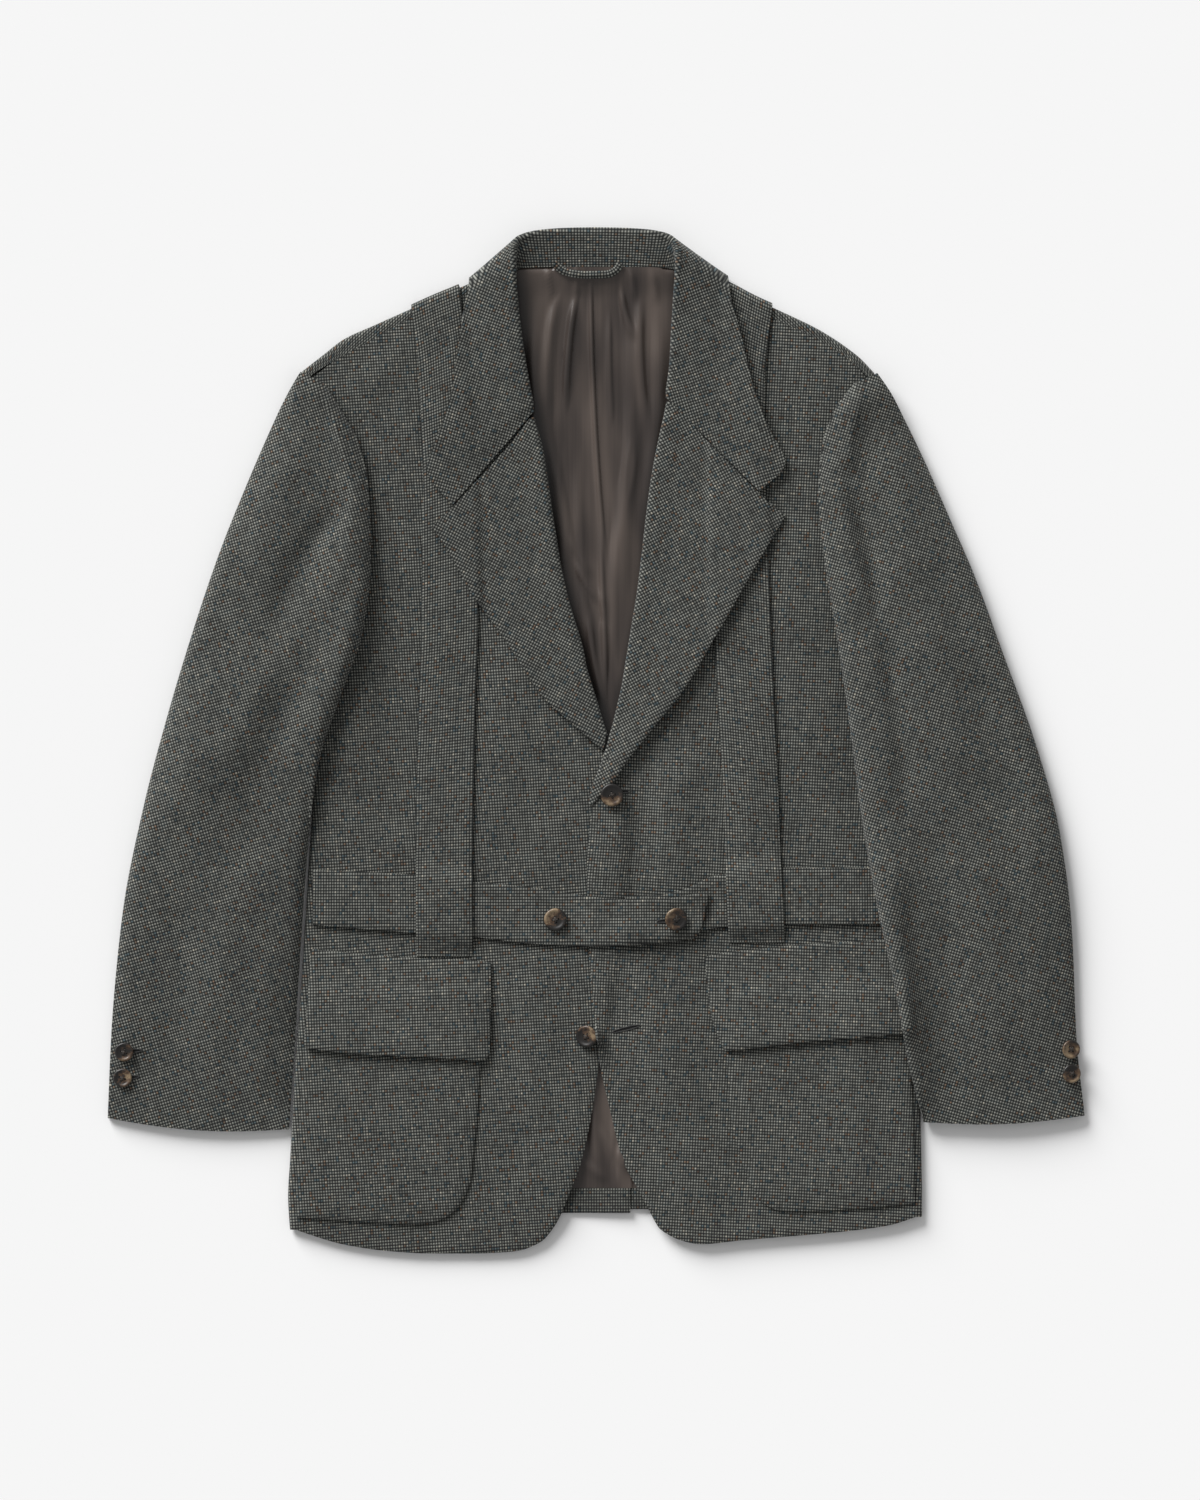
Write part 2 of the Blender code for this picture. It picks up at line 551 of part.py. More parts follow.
def make_lapel(wardrobe, side, finish, under, stand_off):
    # The lapel lies on the front and rolls round its edge to meet it again below.
    sign = SIGN[side]
    shape = LAPEL[side]
    straight, outer, gorge = (route(shape[part]) for part in ("roll", "outer", "gorge"))

    def roll(v):
        # lags behind the outer edge at the low end, where the other lapel cuts across
        return straight(v - shape["late"] * v * (1 - v) ** 8)

    columns = [0.0, 0.07, 0.2, 0.38, 0.58, 0.8, 1.0]
    rows = spread(13, 0.3)
    plan = strip(roll, outer, columns, rows)
    plan[-1] = [gorge(u) for u in columns]
    width = np.linalg.norm(plan[:, -1] - plan[:, 0], axis=1)
    away = []
    for v in rows:
        tangent = np.array(roll(min(v + 0.02, 1))) - np.array(roll(max(v - 0.02, 0)))
        away.append(sign * np.array((tangent[1], -tangent[0])) / np.linalg.norm(tangent))
    square = np.sum((plan[:, -1] - plan[:, 0]) * away, axis=1)
    reach = np.minimum(LAPEL_ROLL, abs(square) * shape["roll_share"])
    for i, j in np.ndindex(plan.shape[:2]):
        plan[i, j] += away[i] * (TWEED / 2 + reach[i]) * (1 - columns[j]) ** 3
    laid = np.maximum(wardrobe.lay(plan, under), FRONT_LEVEL + TWEED + REST)
    grid = []
    for i, v in enumerate(rows):
        start = plan[i, 0].copy()
        under_width = 0.0
        for _ in range(4):
            met = BODY("edge_" + side, start[1] + away[i][1] * under_width)
            under_width = (met - start[0]) / away[i][0]
        lack = max(0.0, LAPEL_CLEARANCE + LAPEL_UNDER - under_width)
        start -= away[i] * lack
        under_width += lack - LAPEL_CLEARANCE
        under_width = min(under_width, LAPEL_UNDER + LAPEL_UNDER_RATE * v)
        edge_x = BODY("edge_" + side, start[1])
        low = wardrobe.hit(edge_x + sign * 3, start[1], ("front_" + side,))[0] - TWEED / 2
        crest = LAPEL_CREST * ease(width[i] / 40)
        level = []
        for j, u in enumerate(columns):
            near = max(0.0, 1 - u * width[i] / LAPEL_CREST_WIDTH)
            lift = stand_off * ease(u) * math.sin(math.pi * min(v * 1.08, 1)) ** 0.7
            level.append(max(laid[i, j] + crest * ease(near) + lift, low + TWEED + LAPEL_LEAST_GAP))
        middle, half = (level[0] + low) / 2, (level[0] - low) / 2
        points = [(*(start + away[i] * under_width), low)]
        for angle in (-90, -30, 30):
            turn = math.radians(angle)
            spot = start - away[i] * reach[i] * math.cos(turn)
            points.append((*spot, middle + half * math.sin(turn)))
        points += [(*p, z) for p, z in zip(plan[i], level)]
        grid.append(points)
    return cloth(wardrobe, "lapel_" + side, np.array(grid, float), finish)


def collar_section(table, at):
    # Points across the collar at one station: stand, rounded roll, fall.
    def point(part):
        return np.array([table(part + axis, at) for axis in ("_x", "_y", "_z")])
    seam, roll, edge = point("seam"), point("roll"), point("edge")
    lean, drop = math.radians(table("lean", at)), table("drop", at)
    inward = np.array((seam[0] - edge[0], seam[1] - edge[1], 0.0))
    if np.linalg.norm(inward[:2]) < 30:
        inward = np.array((0.0, -1.0, 0.0)) * np.linalg.norm(inward[:2])
    inward /= np.linalg.norm(inward)
    if lean > math.pi / 2:
        towards = np.array((0.0, -1.0, 0.0))
        inward = mix(inward * (1 if inward[1] < 0 else 0), towards, ease((lean - math.pi / 2) * 2))
        inward /= np.linalg.norm(inward)
    up = np.array((0.0, 0.0, 1.0))
    apex = math.cos(lean) * inward + math.sin(lean) * up
    across = math.cos(lean) * up - math.sin(lean) * inward
    centre = roll - apex * COLLAR_ROLL
    bend = [centre + COLLAR_ROLL * (math.cos(a) * apex + math.sin(a) * across)
            for a in (-math.pi / 2, 0, math.pi / 2)]
    stand = [seam, mix(seam, bend[0], 0.5)]
    fall = []
    for w in (0.14, 0.36, 0.66, 1.0):
        spot = mix(bend[2], edge, w)
        spot[2] = edge[2] + (bend[2][2] - edge[2]) * (1 - w) ** drop
        fall.append(spot)
    return stand + bend + fall


def make_collar(wardrobe, finish, under):
    stations = [0, 1, 2, 3, 4, 5, 6, 6.5, 7, 7.5, 8, 8.5, 9, 10, 11, 12]
    halves = []
    for side in ("right", "left"):
        grid = np.array([collar_section(COLLAR[side], at) for at in stations])
        over = sum(1 for at in stations if at <= 7)
        fall = grid[:over, 5:]
        laid = wardrobe.lay(fall[:, :, :2].copy(), under)
        fall[:, :, 2] = np.maximum(fall[:, :, 2], laid)
        halves.append(grid)
    right, left = halves
    grid = np.concatenate([right, left[-2::-1]])
    return cloth(wardrobe, "collar", grid, finish)


def make_strap(wardrobe, side, finish, under):
    table, shoulder = STRAP[side], SHOULDER[side]
    columns = spread(3, 0.0)
    plan = panel(lambda y: table("inner", y), lambda y: table("outer", y),
                 lambda x: STRAP_END[side], lambda x: shoulder("edge", x) - BAND_ROLL,
                 columns, spread(20, 0.3))
    heights = wardrobe.lay(plan, under)
    grid = [list(map(tuple, row)) for row in raised(plan, heights)]
    reach = BAND_ROLL + TWEED
    for angle in (60, 30, 0, -25):
        turn = math.radians(angle)
        row = []
        for x, y, z in grid[len(plan) - 1]:
            out = y + reach * math.cos(turn)
            row.append((x, out, mix(STRAP_FOOT, z, (1 + math.sin(turn)) / 2)))
        grid.append(row)
    return cloth(wardrobe, "strap_" + side, np.array(grid, float), finish)


def make_belt(wardrobe, side, finish, under):
    table = BELT[side]
    if side == "right":
        inner, outer, count = (lambda y: TAB_END("x", y)), (lambda y: BELT_ENDS[side]), 22
    else:
        start, end = BELT_ENDS[side]
        inner, outer, count = (lambda y: start), (lambda y: end), 15
    plan = panel(inner, outer, lambda x: table("low", x), lambda x: table("top", x),
                 spread(count, 0.3), (0, 0.5, 1))
    heights = soften(wardrobe.lay(plan, under), 3)
    return cloth(wardrobe, "belt_" + side, raised(plan, heights), finish)


def make_pocket(wardrobe, side, finish, under):
    shape = POCKET[side]
    sign = SIGN[side]
    plan = panel(lambda y: shape["inner"]("x", y),
                 lambda y: BODY("side_" + side, y) - sign * POCKET_SIDE_GAP,
                 lambda x: shape["low"]("y", x), lambda x: POCKET_TOP, spread(8, 0.5), spread(6, 0.5))
    heights = wardrobe.lay(plan, under, THIN_TWEED)
    return cloth(wardrobe, "pocket_" + side, raised(plan, heights), finish, THIN_TWEED)


def make_flap(wardrobe, side, finish, under):
    shape = FLAP[side]
    sign = SIGN[side]
    plan = panel(lambda y: shape["inner"]("x", y),
                 lambda y: BODY("side_" + side, y) - sign * POCKET_SIDE_GAP,
                 lambda x: shape["low"]("y", x), lambda x: shape["top"]("y", x),
                 spread(9, 0.3), spread(5, 0.3))
    heights = soften(wardrobe.lay(plan, under), 2)
    return cloth(wardrobe, "flap_" + side, raised(plan, heights), finish)


def make_loop(wardrobe, finish, under):
    rows = []
    for k in range(11):
        at = k / 2
        x, y, z = (LOOP(axis, at) for axis in "xyz")
        ahead = np.array([LOOP(axis, min(at + 0.2, 5)) - LOOP(axis, max(at - 0.2, 0)) for axis in "xy"])
        across = np.array((-ahead[1], ahead[0])) / np.linalg.norm(ahead)
        rows.append([(x + across[0] * s, y + across[1] * s) for s in (-LOOP_WIDTH / 2, 0, LOOP_WIDTH / 2)])
    plan = np.array(rows)
    heights = soften(wardrobe.lay(plan, under, THIN_TWEED), 4)
    heights[:, 1] += LOOP_CROWN
    return cloth(wardrobe, "hanger_loop", raised(plan, heights), finish, THIN_TWEED)


def make_sleeve(wardrobe, side, finish, under):
    table = SLEEVE[side]
    stations = [11 * v for v in spread(17, 0.0)]
    plan = np.zeros((len(stations), 11, 2))
    shares = []
    for i, at in enumerate(stations):
        inner = np.array((table("inner_x", at), table("inner_y", at)))
        outer = np.array((table("outer_x", at), table("outer_y", at)))
        along = (outer - inner) / np.linalg.norm(outer - inner)
        inner, outer = inner + along * TWEED / 2, outer - along * TWEED / 2
        width = np.linalg.norm(outer - inner)
        half = [0.0, 0.0, max(0.03, 1.9 / width), max(0.1, 5.0 / width)]
        half.append(mix(half[3], 0.5, 0.45))
        shares.append(half + [0.5] + [1 - s for s in half[::-1]])
        for j, s in enumerate(shares[i]):
            plan[i, j] = mix(inner, outer, s)
            plan[i, j, 1] -= CUFF_BOW * math.sin(math.pi * s) * max(0.0, 1 - at)
    low = wardrobe.lay(plan[:, 1:-1], under, TWEED, REST)
    low = np.where(low < TWEED / 2 + REST + SLEEVE_BASE_LIFT, TWEED / 2, low)
    low = np.pad(low, ((0, 0), (1, 1)), mode="edge")
    base = soften(low, 6, axis=1)
    for i, at in enumerate(stations):
        base[i] = mix(base[i], base[i].max(), ease((at - 8.3) / 2.4))
        low[i] = mix(low[i], base[i], ease((at - 8) / 2))
    under_grid, top_grid = [], []
    last = plan.shape[1] - 1
    for i, at in enumerate(stations):
        width = np.linalg.norm(plan[i, -1] - plan[i, 0])
        fold = min(SLEEVE_FOLD, width * 0.3)
        rises = [table(name, at) for name in ("rise_in", "rise_mid", "rise_out")]
        under_row, top_row = [], []
        for j, s in enumerate(shares[i]):
            if s < 0.5:
                rise = mix(rises[0], rises[1], math.sin(math.pi * s))
            else:
                rise = mix(rises[2], rises[1], math.sin(math.pi * s))
            distance = min(s, 1 - s) * width
            bend = math.sqrt(max(0.0, 1 - max(0.0, 1 - distance / fold) ** 2))
            z_low, z_top = low[i, j], base[i, j] + rise
            centre = (z_low + z_top) / 2
            step = SEAM / 2 if j in (0, last) else SLEEVE_SEAM_RISE
            under_row.append((*plan[i, j], min(centre - step, mix(centre, z_low, bend))))
            top_row.append((*plan[i, j], max(centre + step, mix(centre, z_top, bend))))
        under_grid.append(under_row)
        top_grid.append(top_row)
    cloth(wardrobe, "sleeve_under_" + side, np.array(under_grid, float), finish)
    return cloth(wardrobe, "sleeve_top_" + side, np.array(top_grid, float), finish)


def make_button(wardrobe, name, spot, finish, under):
    # A turned button with a dished face, sitting square on the cloth below it.
    x, y, diameter = spot
    radius = diameter / 2
    profile = [(0.0, 0.62), (0.52, 0.62), (0.68, 0.94), (0.84, 1.0), (1.0, 0.6), (0.72, 0.0),
               (0.0, 0.0)]
    mesh = bpy.data.meshes.new(name)
    mesh.from_pydata([(r * radius * MM, 0, h * BUTTON_HEIGHT * MM) for r, h in profile],
                     [(k, k + 1) for k in range(len(profile) - 1)], [])
    mesh.materials.append(finish)
    button = bpy.data.objects.new(name, mesh)
    turned = button.modifiers.new("turned", "SCREW")
    turned.steps = turned.render_steps = 16
    turned.use_merge_vertices = True
    turned.merge_threshold = 0.00005
    height, normal = wardrobe.hit(x, y, under)
    around = [(r * radius * math.cos(k * math.pi / 8), r * radius * math.sin(k * math.pi / 8))
              for r in (0.35, 0.7, 1.0) for k in range(16)]
    touched = [(a, b, *wardrobe.hit(x + a, y + b, under)) for a, b in around]
    normal = sum((n for _, _, _, n in touched), normal.copy()).normalized()
    lift = REST
    for a, b, h, _ in touched:
        lift = max(lift, Vector((a, b, h - height)).dot(normal) + REST)
    button.rotation_mode = "QUATERNION"
    button.rotation_quaternion = normal.to_track_quat("Z", "Y")
    button.location = (Vector((x, y, height)) + normal * lift) * MM
    return wardrobe.add(button)


def main():
    for thing in list(bpy.data.objects):
        bpy.data.objects.remove(thing, do_unlink=True)
    wardrobe = Wardrobe()
    tweed = material("tweed", (0.072, 0.074, 0.069), 0.9)
    satin = material("lining_satin", (0.083, 0.055, 0.048), 0.45)
    horn = material("horn", (0.07, 0.035, 0.02), 0.3)

    for side in ("right", "left"):
        make_back(wardrobe, side, tweed)
    make_lining(wardrobe, satin)
    for side in ("right", "left"):
        make_hem_turn(wardrobe, side, tweed)

    make_front(wardrobe, "right", tweed)
    make_button(wardrobe, "button_front_lower", LOWER_BUTTON, horn, ("front_right",))
    make_front(wardrobe, "left", tweed, ("front_right", "button_front_lower"))

    fronts = ("front_right", "front_left")
    make_belt(wardrobe, "left", tweed, fronts)
    make_belt(wardrobe, "right", tweed, fronts + ("belt_left", "button_front_lower"))
    for side in ("right", "left"):
        make_pocket(wardrobe, side, tweed, ("front_" + side,))
        make_flap(wardrobe, side, tweed, ("front_" + side, "pocket_" + side))
        make_strap(wardrobe, side, tweed, ("front_" + side, "back_" + side, "belt_" + side))

    straps = ("strap_right", "strap_left")
    make_lapel(wardrobe, "right", tweed, fronts + straps, 0.0)
    make_lapel(wardrobe, "left", tweed, fronts + straps + ("lapel_right",), LEFT_LAPEL_STAND_OFF)
    shoulders = fronts + straps + ("back_right", "back_left")
    make_collar(wardrobe, tweed, shoulders)
    make_loop(wardrobe, tweed, ("lining", "collar"))

    for side in ("right", "left"):
        below = [part + "_" + side for part in ("front", "belt", "pocket", "flap", "back")]
        make_sleeve(wardrobe, side, tweed, below)
    upper = fronts + ("lapel_left", "belt_right", "belt_left", "sleeve_top_right", "sleeve_top_left")
    for name, spot in BUTTONS.items():
        make_button(wardrobe, name, spot, horn, upper)
    return wardrobe


if __name__ == "__main__":
    main()
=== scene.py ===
import math

import bmesh
import bpy
import numpy as np
from mathutils import Matrix, Vector
from mathutils.bvhtree import BVHTree


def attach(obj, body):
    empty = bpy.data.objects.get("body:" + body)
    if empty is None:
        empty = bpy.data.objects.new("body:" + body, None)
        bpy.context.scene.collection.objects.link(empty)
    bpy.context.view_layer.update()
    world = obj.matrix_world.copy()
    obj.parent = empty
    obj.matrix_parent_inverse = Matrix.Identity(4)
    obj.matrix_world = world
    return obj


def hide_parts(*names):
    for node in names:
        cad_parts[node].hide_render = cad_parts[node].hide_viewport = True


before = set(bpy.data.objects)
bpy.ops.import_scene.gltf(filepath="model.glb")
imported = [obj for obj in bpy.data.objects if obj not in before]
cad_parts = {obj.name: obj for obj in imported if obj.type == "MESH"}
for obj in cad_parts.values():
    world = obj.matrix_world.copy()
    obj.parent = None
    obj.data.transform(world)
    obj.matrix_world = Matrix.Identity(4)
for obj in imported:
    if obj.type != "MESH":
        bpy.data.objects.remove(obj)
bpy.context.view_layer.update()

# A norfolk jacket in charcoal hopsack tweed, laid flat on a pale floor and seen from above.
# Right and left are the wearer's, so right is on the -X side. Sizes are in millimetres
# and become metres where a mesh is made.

mm = 0.001
sharpFrom = 50                # degrees; edges of the cloth sharper than this stay sharp
signOf = {"right": -1, "left": 1}
print("frame loaded", len(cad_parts), "nodes")


# Curves and plans

class Table:
    # Rows of named columns, read between rows along a curve that doesn't overshoot.
    def __init__(self, columns, *rows):
        self.columns = columns.split()
        self.rows = np.array(rows, float)

    def slope(self, values, i):
        keys = self.rows[:, 0]
        if i in (0, len(keys) - 1):
            j = max(i, 1)
            return (values[j] - values[j - 1]) / (keys[j] - keys[j - 1])
        before = (values[i] - values[i - 1]) / (keys[i] - keys[i - 1])
        after = (values[i + 1] - values[i]) / (keys[i + 1] - keys[i])
        if before * after <= 0:
            return 0.0
        return 2 * before * after / (before + after)

    def __call__(self, column, at):
        keys = self.rows[:, 0]
        values = self.rows[:, self.columns.index(column)]
        at = min(max(at, keys[0]), keys[-1])
        i = min(max(int(np.searchsorted(keys, at)), 1), len(keys) - 1)
        span = keys[i] - keys[i - 1]
        t = (at - keys[i - 1]) / span
        start = self.slope(values, i - 1) * span
        end = self.slope(values, i) * span
        return (values[i - 1] * (1 + 2 * t) * (1 - t) ** 2 + start * t * (1 - t) ** 2
                + values[i] * t * t * (3 - 2 * t) + end * t * t * (t - 1))


def ease(t):
    t = np.clip(t, 0.0, 1.0)
    return t * t * (3 - 2 * t)


def mix(a, b, t):
    return a + (b - a) * t


def spread(count, ends=0.3):
    # stations from 0 to 1, closer together towards both ends
    return [mix(k / count, (1 - math.cos(math.pi * k / count)) / 2, ends) for k in range(count + 1)]


def route(points):
    # a smooth curve through a few points, read from 0 to 1 along its length
    lengths = [0.0]
    for a, b in zip(points, points[1:]):
        lengths.append(lengths[-1] + math.dist(a, b))
    table = Table("at x y", *[(s / lengths[-1], *p) for s, p in zip(lengths, points)])
    return lambda t: np.array((table("x", t), table("y", t)))


def panelPlan(inner, outer, low, high, columns, rows):
    # plan of a panel between two edges x(y) and two ends y(x)
    def xAt(u, y):
        return mix(inner(y), outer(y), u)

    def meet(u, end, y):
        for _ in range(12):
            y = end(xAt(u, y))
        return y

    plan = np.zeros((len(rows), len(columns), 2))
    for j, u in enumerate(columns):
        start, stop = meet(u, low, -300.0), meet(u, high, 300.0)
        for i, v in enumerate(rows):
            y = mix(start, stop, v)
            plan[i, j] = xAt(u, y), y
    return plan


def raised(plan, heights):
    return np.dstack([plan, heights])


def soften(heights, passes, sink=False, keep=None):
    # rounds a field of heights off, without letting it sink anywhere unless it may
    floor = heights.copy()
    for _ in range(passes):
        padded = np.pad(heights, 1, mode="edge")
        mean = (padded[1:-1, :-2] + padded[1:-1, 2:] + padded[:-2, 1:-1] + padded[2:, 1:-1]) / 4
        heights = (heights + mean) / 2
        if not sink:
            heights = np.maximum(floor, heights)
        if keep is not None:
            heights = np.where(keep, floor, heights)
    return heights


def edgeLengths(grid):
    # distance along the cloth from each of the four borders: left, right, low and high
    across = np.linalg.norm(np.diff(grid, axis=1), axis=2)
    along = np.linalg.norm(np.diff(grid, axis=0), axis=2)
    left = np.pad(np.cumsum(across, axis=1), ((0, 0), (1, 0)))
    low = np.pad(np.cumsum(along, axis=0), ((1, 0), (0, 0)))
    return left, left[:, -1:] - left, low, low[-1:] - low


def drooped(grid, borders, depth=0.5, width=2.4):
    # the named borders turn down a little, as a pressed edge does
    lengths = dict(zip(("left", "right", "low", "high"), edgeLengths(grid)))
    nearest = np.min([lengths[b] for b in borders], axis=0)
    grid = grid.copy()
    grid[:, :, 2] -= depth * np.clip(1 - nearest / width, 0, 1) ** 2
    return grid


def crease(x, y, folds):
    # height that the placed folds add: each is a soft ridge, or a trough if it is negative
    total = np.zeros_like(x)
    for x0, y0, x1, y1, bow, width, height in folds:
        length = math.hypot(x1 - x0, y1 - y0)
        dx, dy = (x1 - x0) / length, (y1 - y0) / length
        along = ((x - x0) * dx + (y - y0) * dy) / length
        aside = (x - x0) * dy - (y - y0) * dx - bow * 4 * along * (1 - along)
        swell = width * (0.8 + 0.35 * np.clip(along, 0, 1))
        fade = ease((along + 0.15) / 0.4) * ease((1.15 - along) / 0.4)
        total += height * fade * np.exp(-(aside / swell) ** 2)
    return total


# Meshes and what later pieces are laid on

class Closet:
    # the finished shells, and the search trees that later pieces are laid on
    def __init__(self):
        self.trees = {}
        self.grids = {}

    def remember(self, name, corners, faces):
        self.trees[name] = BVHTree.FromPolygons([tuple(p) for p in corners], faces)

    def hit(self, x, y, under, ceiling=200.0):
        best, slope = 0.0, Vector((0, 0, 1))
        for name in under:
            place, normal, _, _ = self.trees[name].ray_cast(Vector((x, y, ceiling)),
                                                            Vector((0, 0, -1)))
            if place is not None and place.z > best:
                best, slope = place.z, normal
        return best, slope

    def lay(self, plan, under, wall, gap=0.35, passes=4, reach=1.6, ceiling=200.0):
        # middle heights of a wall that lies on the named pieces
        top = np.zeros(plan.shape[:2])
        around = [(0, 0), (reach, 0), (-reach, 0), (0, reach), (0, -reach)]
        for i, j in np.ndindex(top.shape):
            x, y = plan[i, j]
            top[i, j] = max(self.hit(x + a, y + b, under, ceiling)[0] for a, b in around)
        return soften(top, passes) + gap + wall / 2


closet = Closet()


def grainUv(grid, angle, pin=None):
    # the cloth's own coordinates in metres: the plan turned to the grain, with what
    # the surface gains by turning down added along each row
    turn = math.radians(angle)
    x, y = grid[:, :, 0], grid[:, :, 1]
    u = x * math.cos(turn) + y * math.sin(turn)
    v = -x * math.sin(turn) + y * math.cos(turn)
    step = np.diff(grid, axis=1)
    gain = np.linalg.norm(step, axis=2) - np.linalg.norm(step[:, :, :2], axis=2)
    total = np.pad(np.cumsum(gain, axis=1), ((0, 0), (1, 0)))
    middle = total.shape[1] // 2 if pin is None else pin
    total -= total[:, middle:middle + 1]
    ahead = grid[:, -1, :2] - grid[:, 0, :2]
    ahead /= np.linalg.norm(ahead, axis=1, keepdims=True)
    u = u + total * (ahead[:, :1] * math.cos(turn) + ahead[:, 1:] * math.sin(turn))
    v = v + total * (-ahead[:, :1] * math.sin(turn) + ahead[:, 1:] * math.cos(turn))
    return np.dstack([u, v]) * mm


def arcUv(grid, middle=None):
    # the cloth's own coordinates along its rows and columns, in metres
    left, _, low, _ = edgeLengths(grid)
    row = left.shape[0] // 2
    column = low.shape[1] // 2 if middle is None else middle
    u = left - left[:, column:column + 1]
    v = np.repeat(low[:, column:column + 1], low.shape[1], axis=1)
    return np.dstack([u, v - v[row, column]]) * mm


def pieceFrom(name, vertices, faces, finish):
    mesh = bpy.data.meshes.new(name)
    mesh.from_pydata([tuple(p) for p in vertices], [], faces)
    mesh.materials.append(finish)
    mesh.shade_smooth()
    piece = bpy.data.objects.new(name, mesh)
    bpy.context.scene.collection.objects.link(piece)
    return piece


def shell(name, grid, uv, finish, wall):
    # a closed thin shell round a grid of middle points, with its grain as UVs; the rows of the
    # left pieces and of the lining run the way that has its normals up
    upwards = name.endswith("left") or name == "lining"
    rows, columns = grid.shape[:2]
    alongColumns = np.gradient(grid, axis=1)
    alongRows = np.gradient(grid, axis=0)
    normal = np.cross(alongColumns, alongRows)
    normal /= np.maximum(np.linalg.norm(normal, axis=2, keepdims=True), 1e-9)
    if not upwards:
        normal = -normal
    half = np.broadcast_to(wall, (rows, columns))[:, :, None] / 2
    sides = [grid + normal * half, grid - normal * half]
    count = rows * columns
    vertices = np.concatenate([s.reshape(-1, 3) for s in sides])
    faces = []
    for i in range(rows - 1):
        for j in range(columns - 1):
            a, b = i * columns + j, i * columns + j + 1
            c, d = a + columns, b + columns
            faces.append((a, b, d, c) if upwards else (a, c, d, b))
            faces.append((count + a, count + c, count + d, count + b) if upwards
                         else (count + a, count + b, count + d, count + c))
    rim = [j for j in range(columns)]
    rim += [i * columns + columns - 1 for i in range(1, rows)]
    rim += [(rows - 1) * columns + j for j in range(columns - 2, -1, -1)]
    rim += [i * columns for i in range(rows - 2, 0, -1)]
    for a, b in zip(rim, rim[1:] + rim[:1]):
        faces.append((b, a, count + a, count + b) if upwards else (a, b, count + b, count + a))
    piece = pieceFrom(name, vertices * mm, faces, finish)
    layer = piece.data.uv_layers.new(name="grain")
    both = np.concatenate([uv.reshape(-1, 2)] * 2)
    corners = np.zeros(len(piece.data.loops), dtype=np.int32)
    piece.data.loops.foreach_get("vertex_index", corners)
    layer.data.foreach_set("uv", both[corners].ravel())
    piece.data.set_sharp_from_angle(angle=math.radians(sharpFrom))
    closet.remember(name, vertices, faces)
    closet.grids[name] = grid
    return piece


# Materials

class Wire:
    # A shader value that takes plain arithmetic; any other node comes from `made`.
    def __init__(self, tree, socket):
        self.tree, self.socket = tree, socket

    def made(self, kind, output=0, settings=None, **inputs):
        node = self.tree.nodes.new(kind)
        for key, value in (settings or {}).items():
            setattr(node, key, value)
        for key, value in inputs.items():
            spot = node.inputs[int(key[2:])] if key.startswith("at") else node.inputs[key.replace("_", " ")]
            if isinstance(value, Wire):
                self.tree.links.new(value.socket, spot)
            else:
                spot.default_value = value
        return Wire(self.tree, node.outputs[output])

    def maths(self, operation, first, second=None, third=None):
        given = {"at0": first}
        if second is not None:
            given["at1"] = second
        if third is not None:
            given["at2"] = third
        return self.made("ShaderNodeMath", settings={"operation": operation}, **given)

    def __add__(self, other):
        return self.maths("ADD", self, other)

    def __radd__(self, other):
        return self.maths("ADD", other, self)

    def __sub__(self, other):
        return self.maths("SUBTRACT", self, other)

    def __rsub__(self, other):
        return self.maths("SUBTRACT", other, self)

    def __mul__(self, other):
        return self.maths("MULTIPLY", self, other)

    def __rmul__(self, other):
        return self.maths("MULTIPLY", other, self)

    def __truediv__(self, other):
        return self.maths("DIVIDE", self, other)

    def __pow__(self, other):
        return self.maths("POWER", self, other)

    def floor(self):
        return self.maths("FLOOR", self)

    def wave(self):
        # 1 in the middle of each whole turn's start, 0 halfway
        return self.maths("COSINE", self * (2 * math.pi)) * 0.5 + 0.5

    def clamped(self):
        return self.maths("MINIMUM", self.maths("MAXIMUM", self, 0.0), 1.0)

    def smooth(self, low, high):
        return self.made("ShaderNodeMapRange", settings={"interpolation_type": "SMOOTHSTEP"},
                         Value=self, From_Min=low, From_Max=high)

    def vector(self, y, z=0.0):
        return self.made("ShaderNodeCombineXYZ", X=self, Y=y, Z=z)

    def random(self, y, seed=0.0):
        # an even random number for each whole pair of numbers
        place = self.vector(y, seed)
        return self.made("ShaderNodeTexWhiteNoise", "Value", {"noise_dimensions": "3D"},
                         Vector=place)

    def noise(self, scale, detail=2.0, roughness=0.5):
        return self.made("ShaderNodeTexNoise", 0, None, Vector=self, Scale=scale, Detail=detail,
                         Roughness=roughness)

    def blend(self, first, second):
        # this value as the share of the second colour
        return self.made("ShaderNodeMix", 2, {"data_type": "RGBA"}, at0=self, at6=first, at7=second)


def colour(red, green, blue):
    # display values from 0 to 255 as a linear colour
    linear = [c / 255 / 12.92 if c <= 10 else ((c / 255 + 0.055) / 1.055) ** 2.4
              for c in (red, green, blue)]
    return (*linear, 1.0)


def newMaterial(name):
    finish = bpy.data.materials.new(name)
    finish.use_nodes = True
    tree = finish.node_tree
    shader = tree.nodes["Principled BSDF"]
    return finish, tree, shader


def setAll(shader, **values):
    for key, value in values.items():
        shader.inputs[key.replace("_", " ")].default_value = value


def feed(tree, shader, name, wire):
    tree.links.new(wire.socket, shader.inputs[name])


tweedLook = {
    "acrossPitch": 2.12,          # mm between dots across the cloth
    "alongPitch": 2.4,            # mm between dots along the cloth
    "ground": (14, 16, 17),       # dark yarn
    "dot": (153, 154, 146),       # light yarn
    "thread": (62, 63, 62),       # the same yarns side by side between the dots
    "fleck": ((140, 118, 98), (96, 112, 116), (186, 182, 168)),
    "fleckShare": 0.045,
    "slub": 0.30,                 # how much the yarns vary along their length
    "bump": 0.5,
}


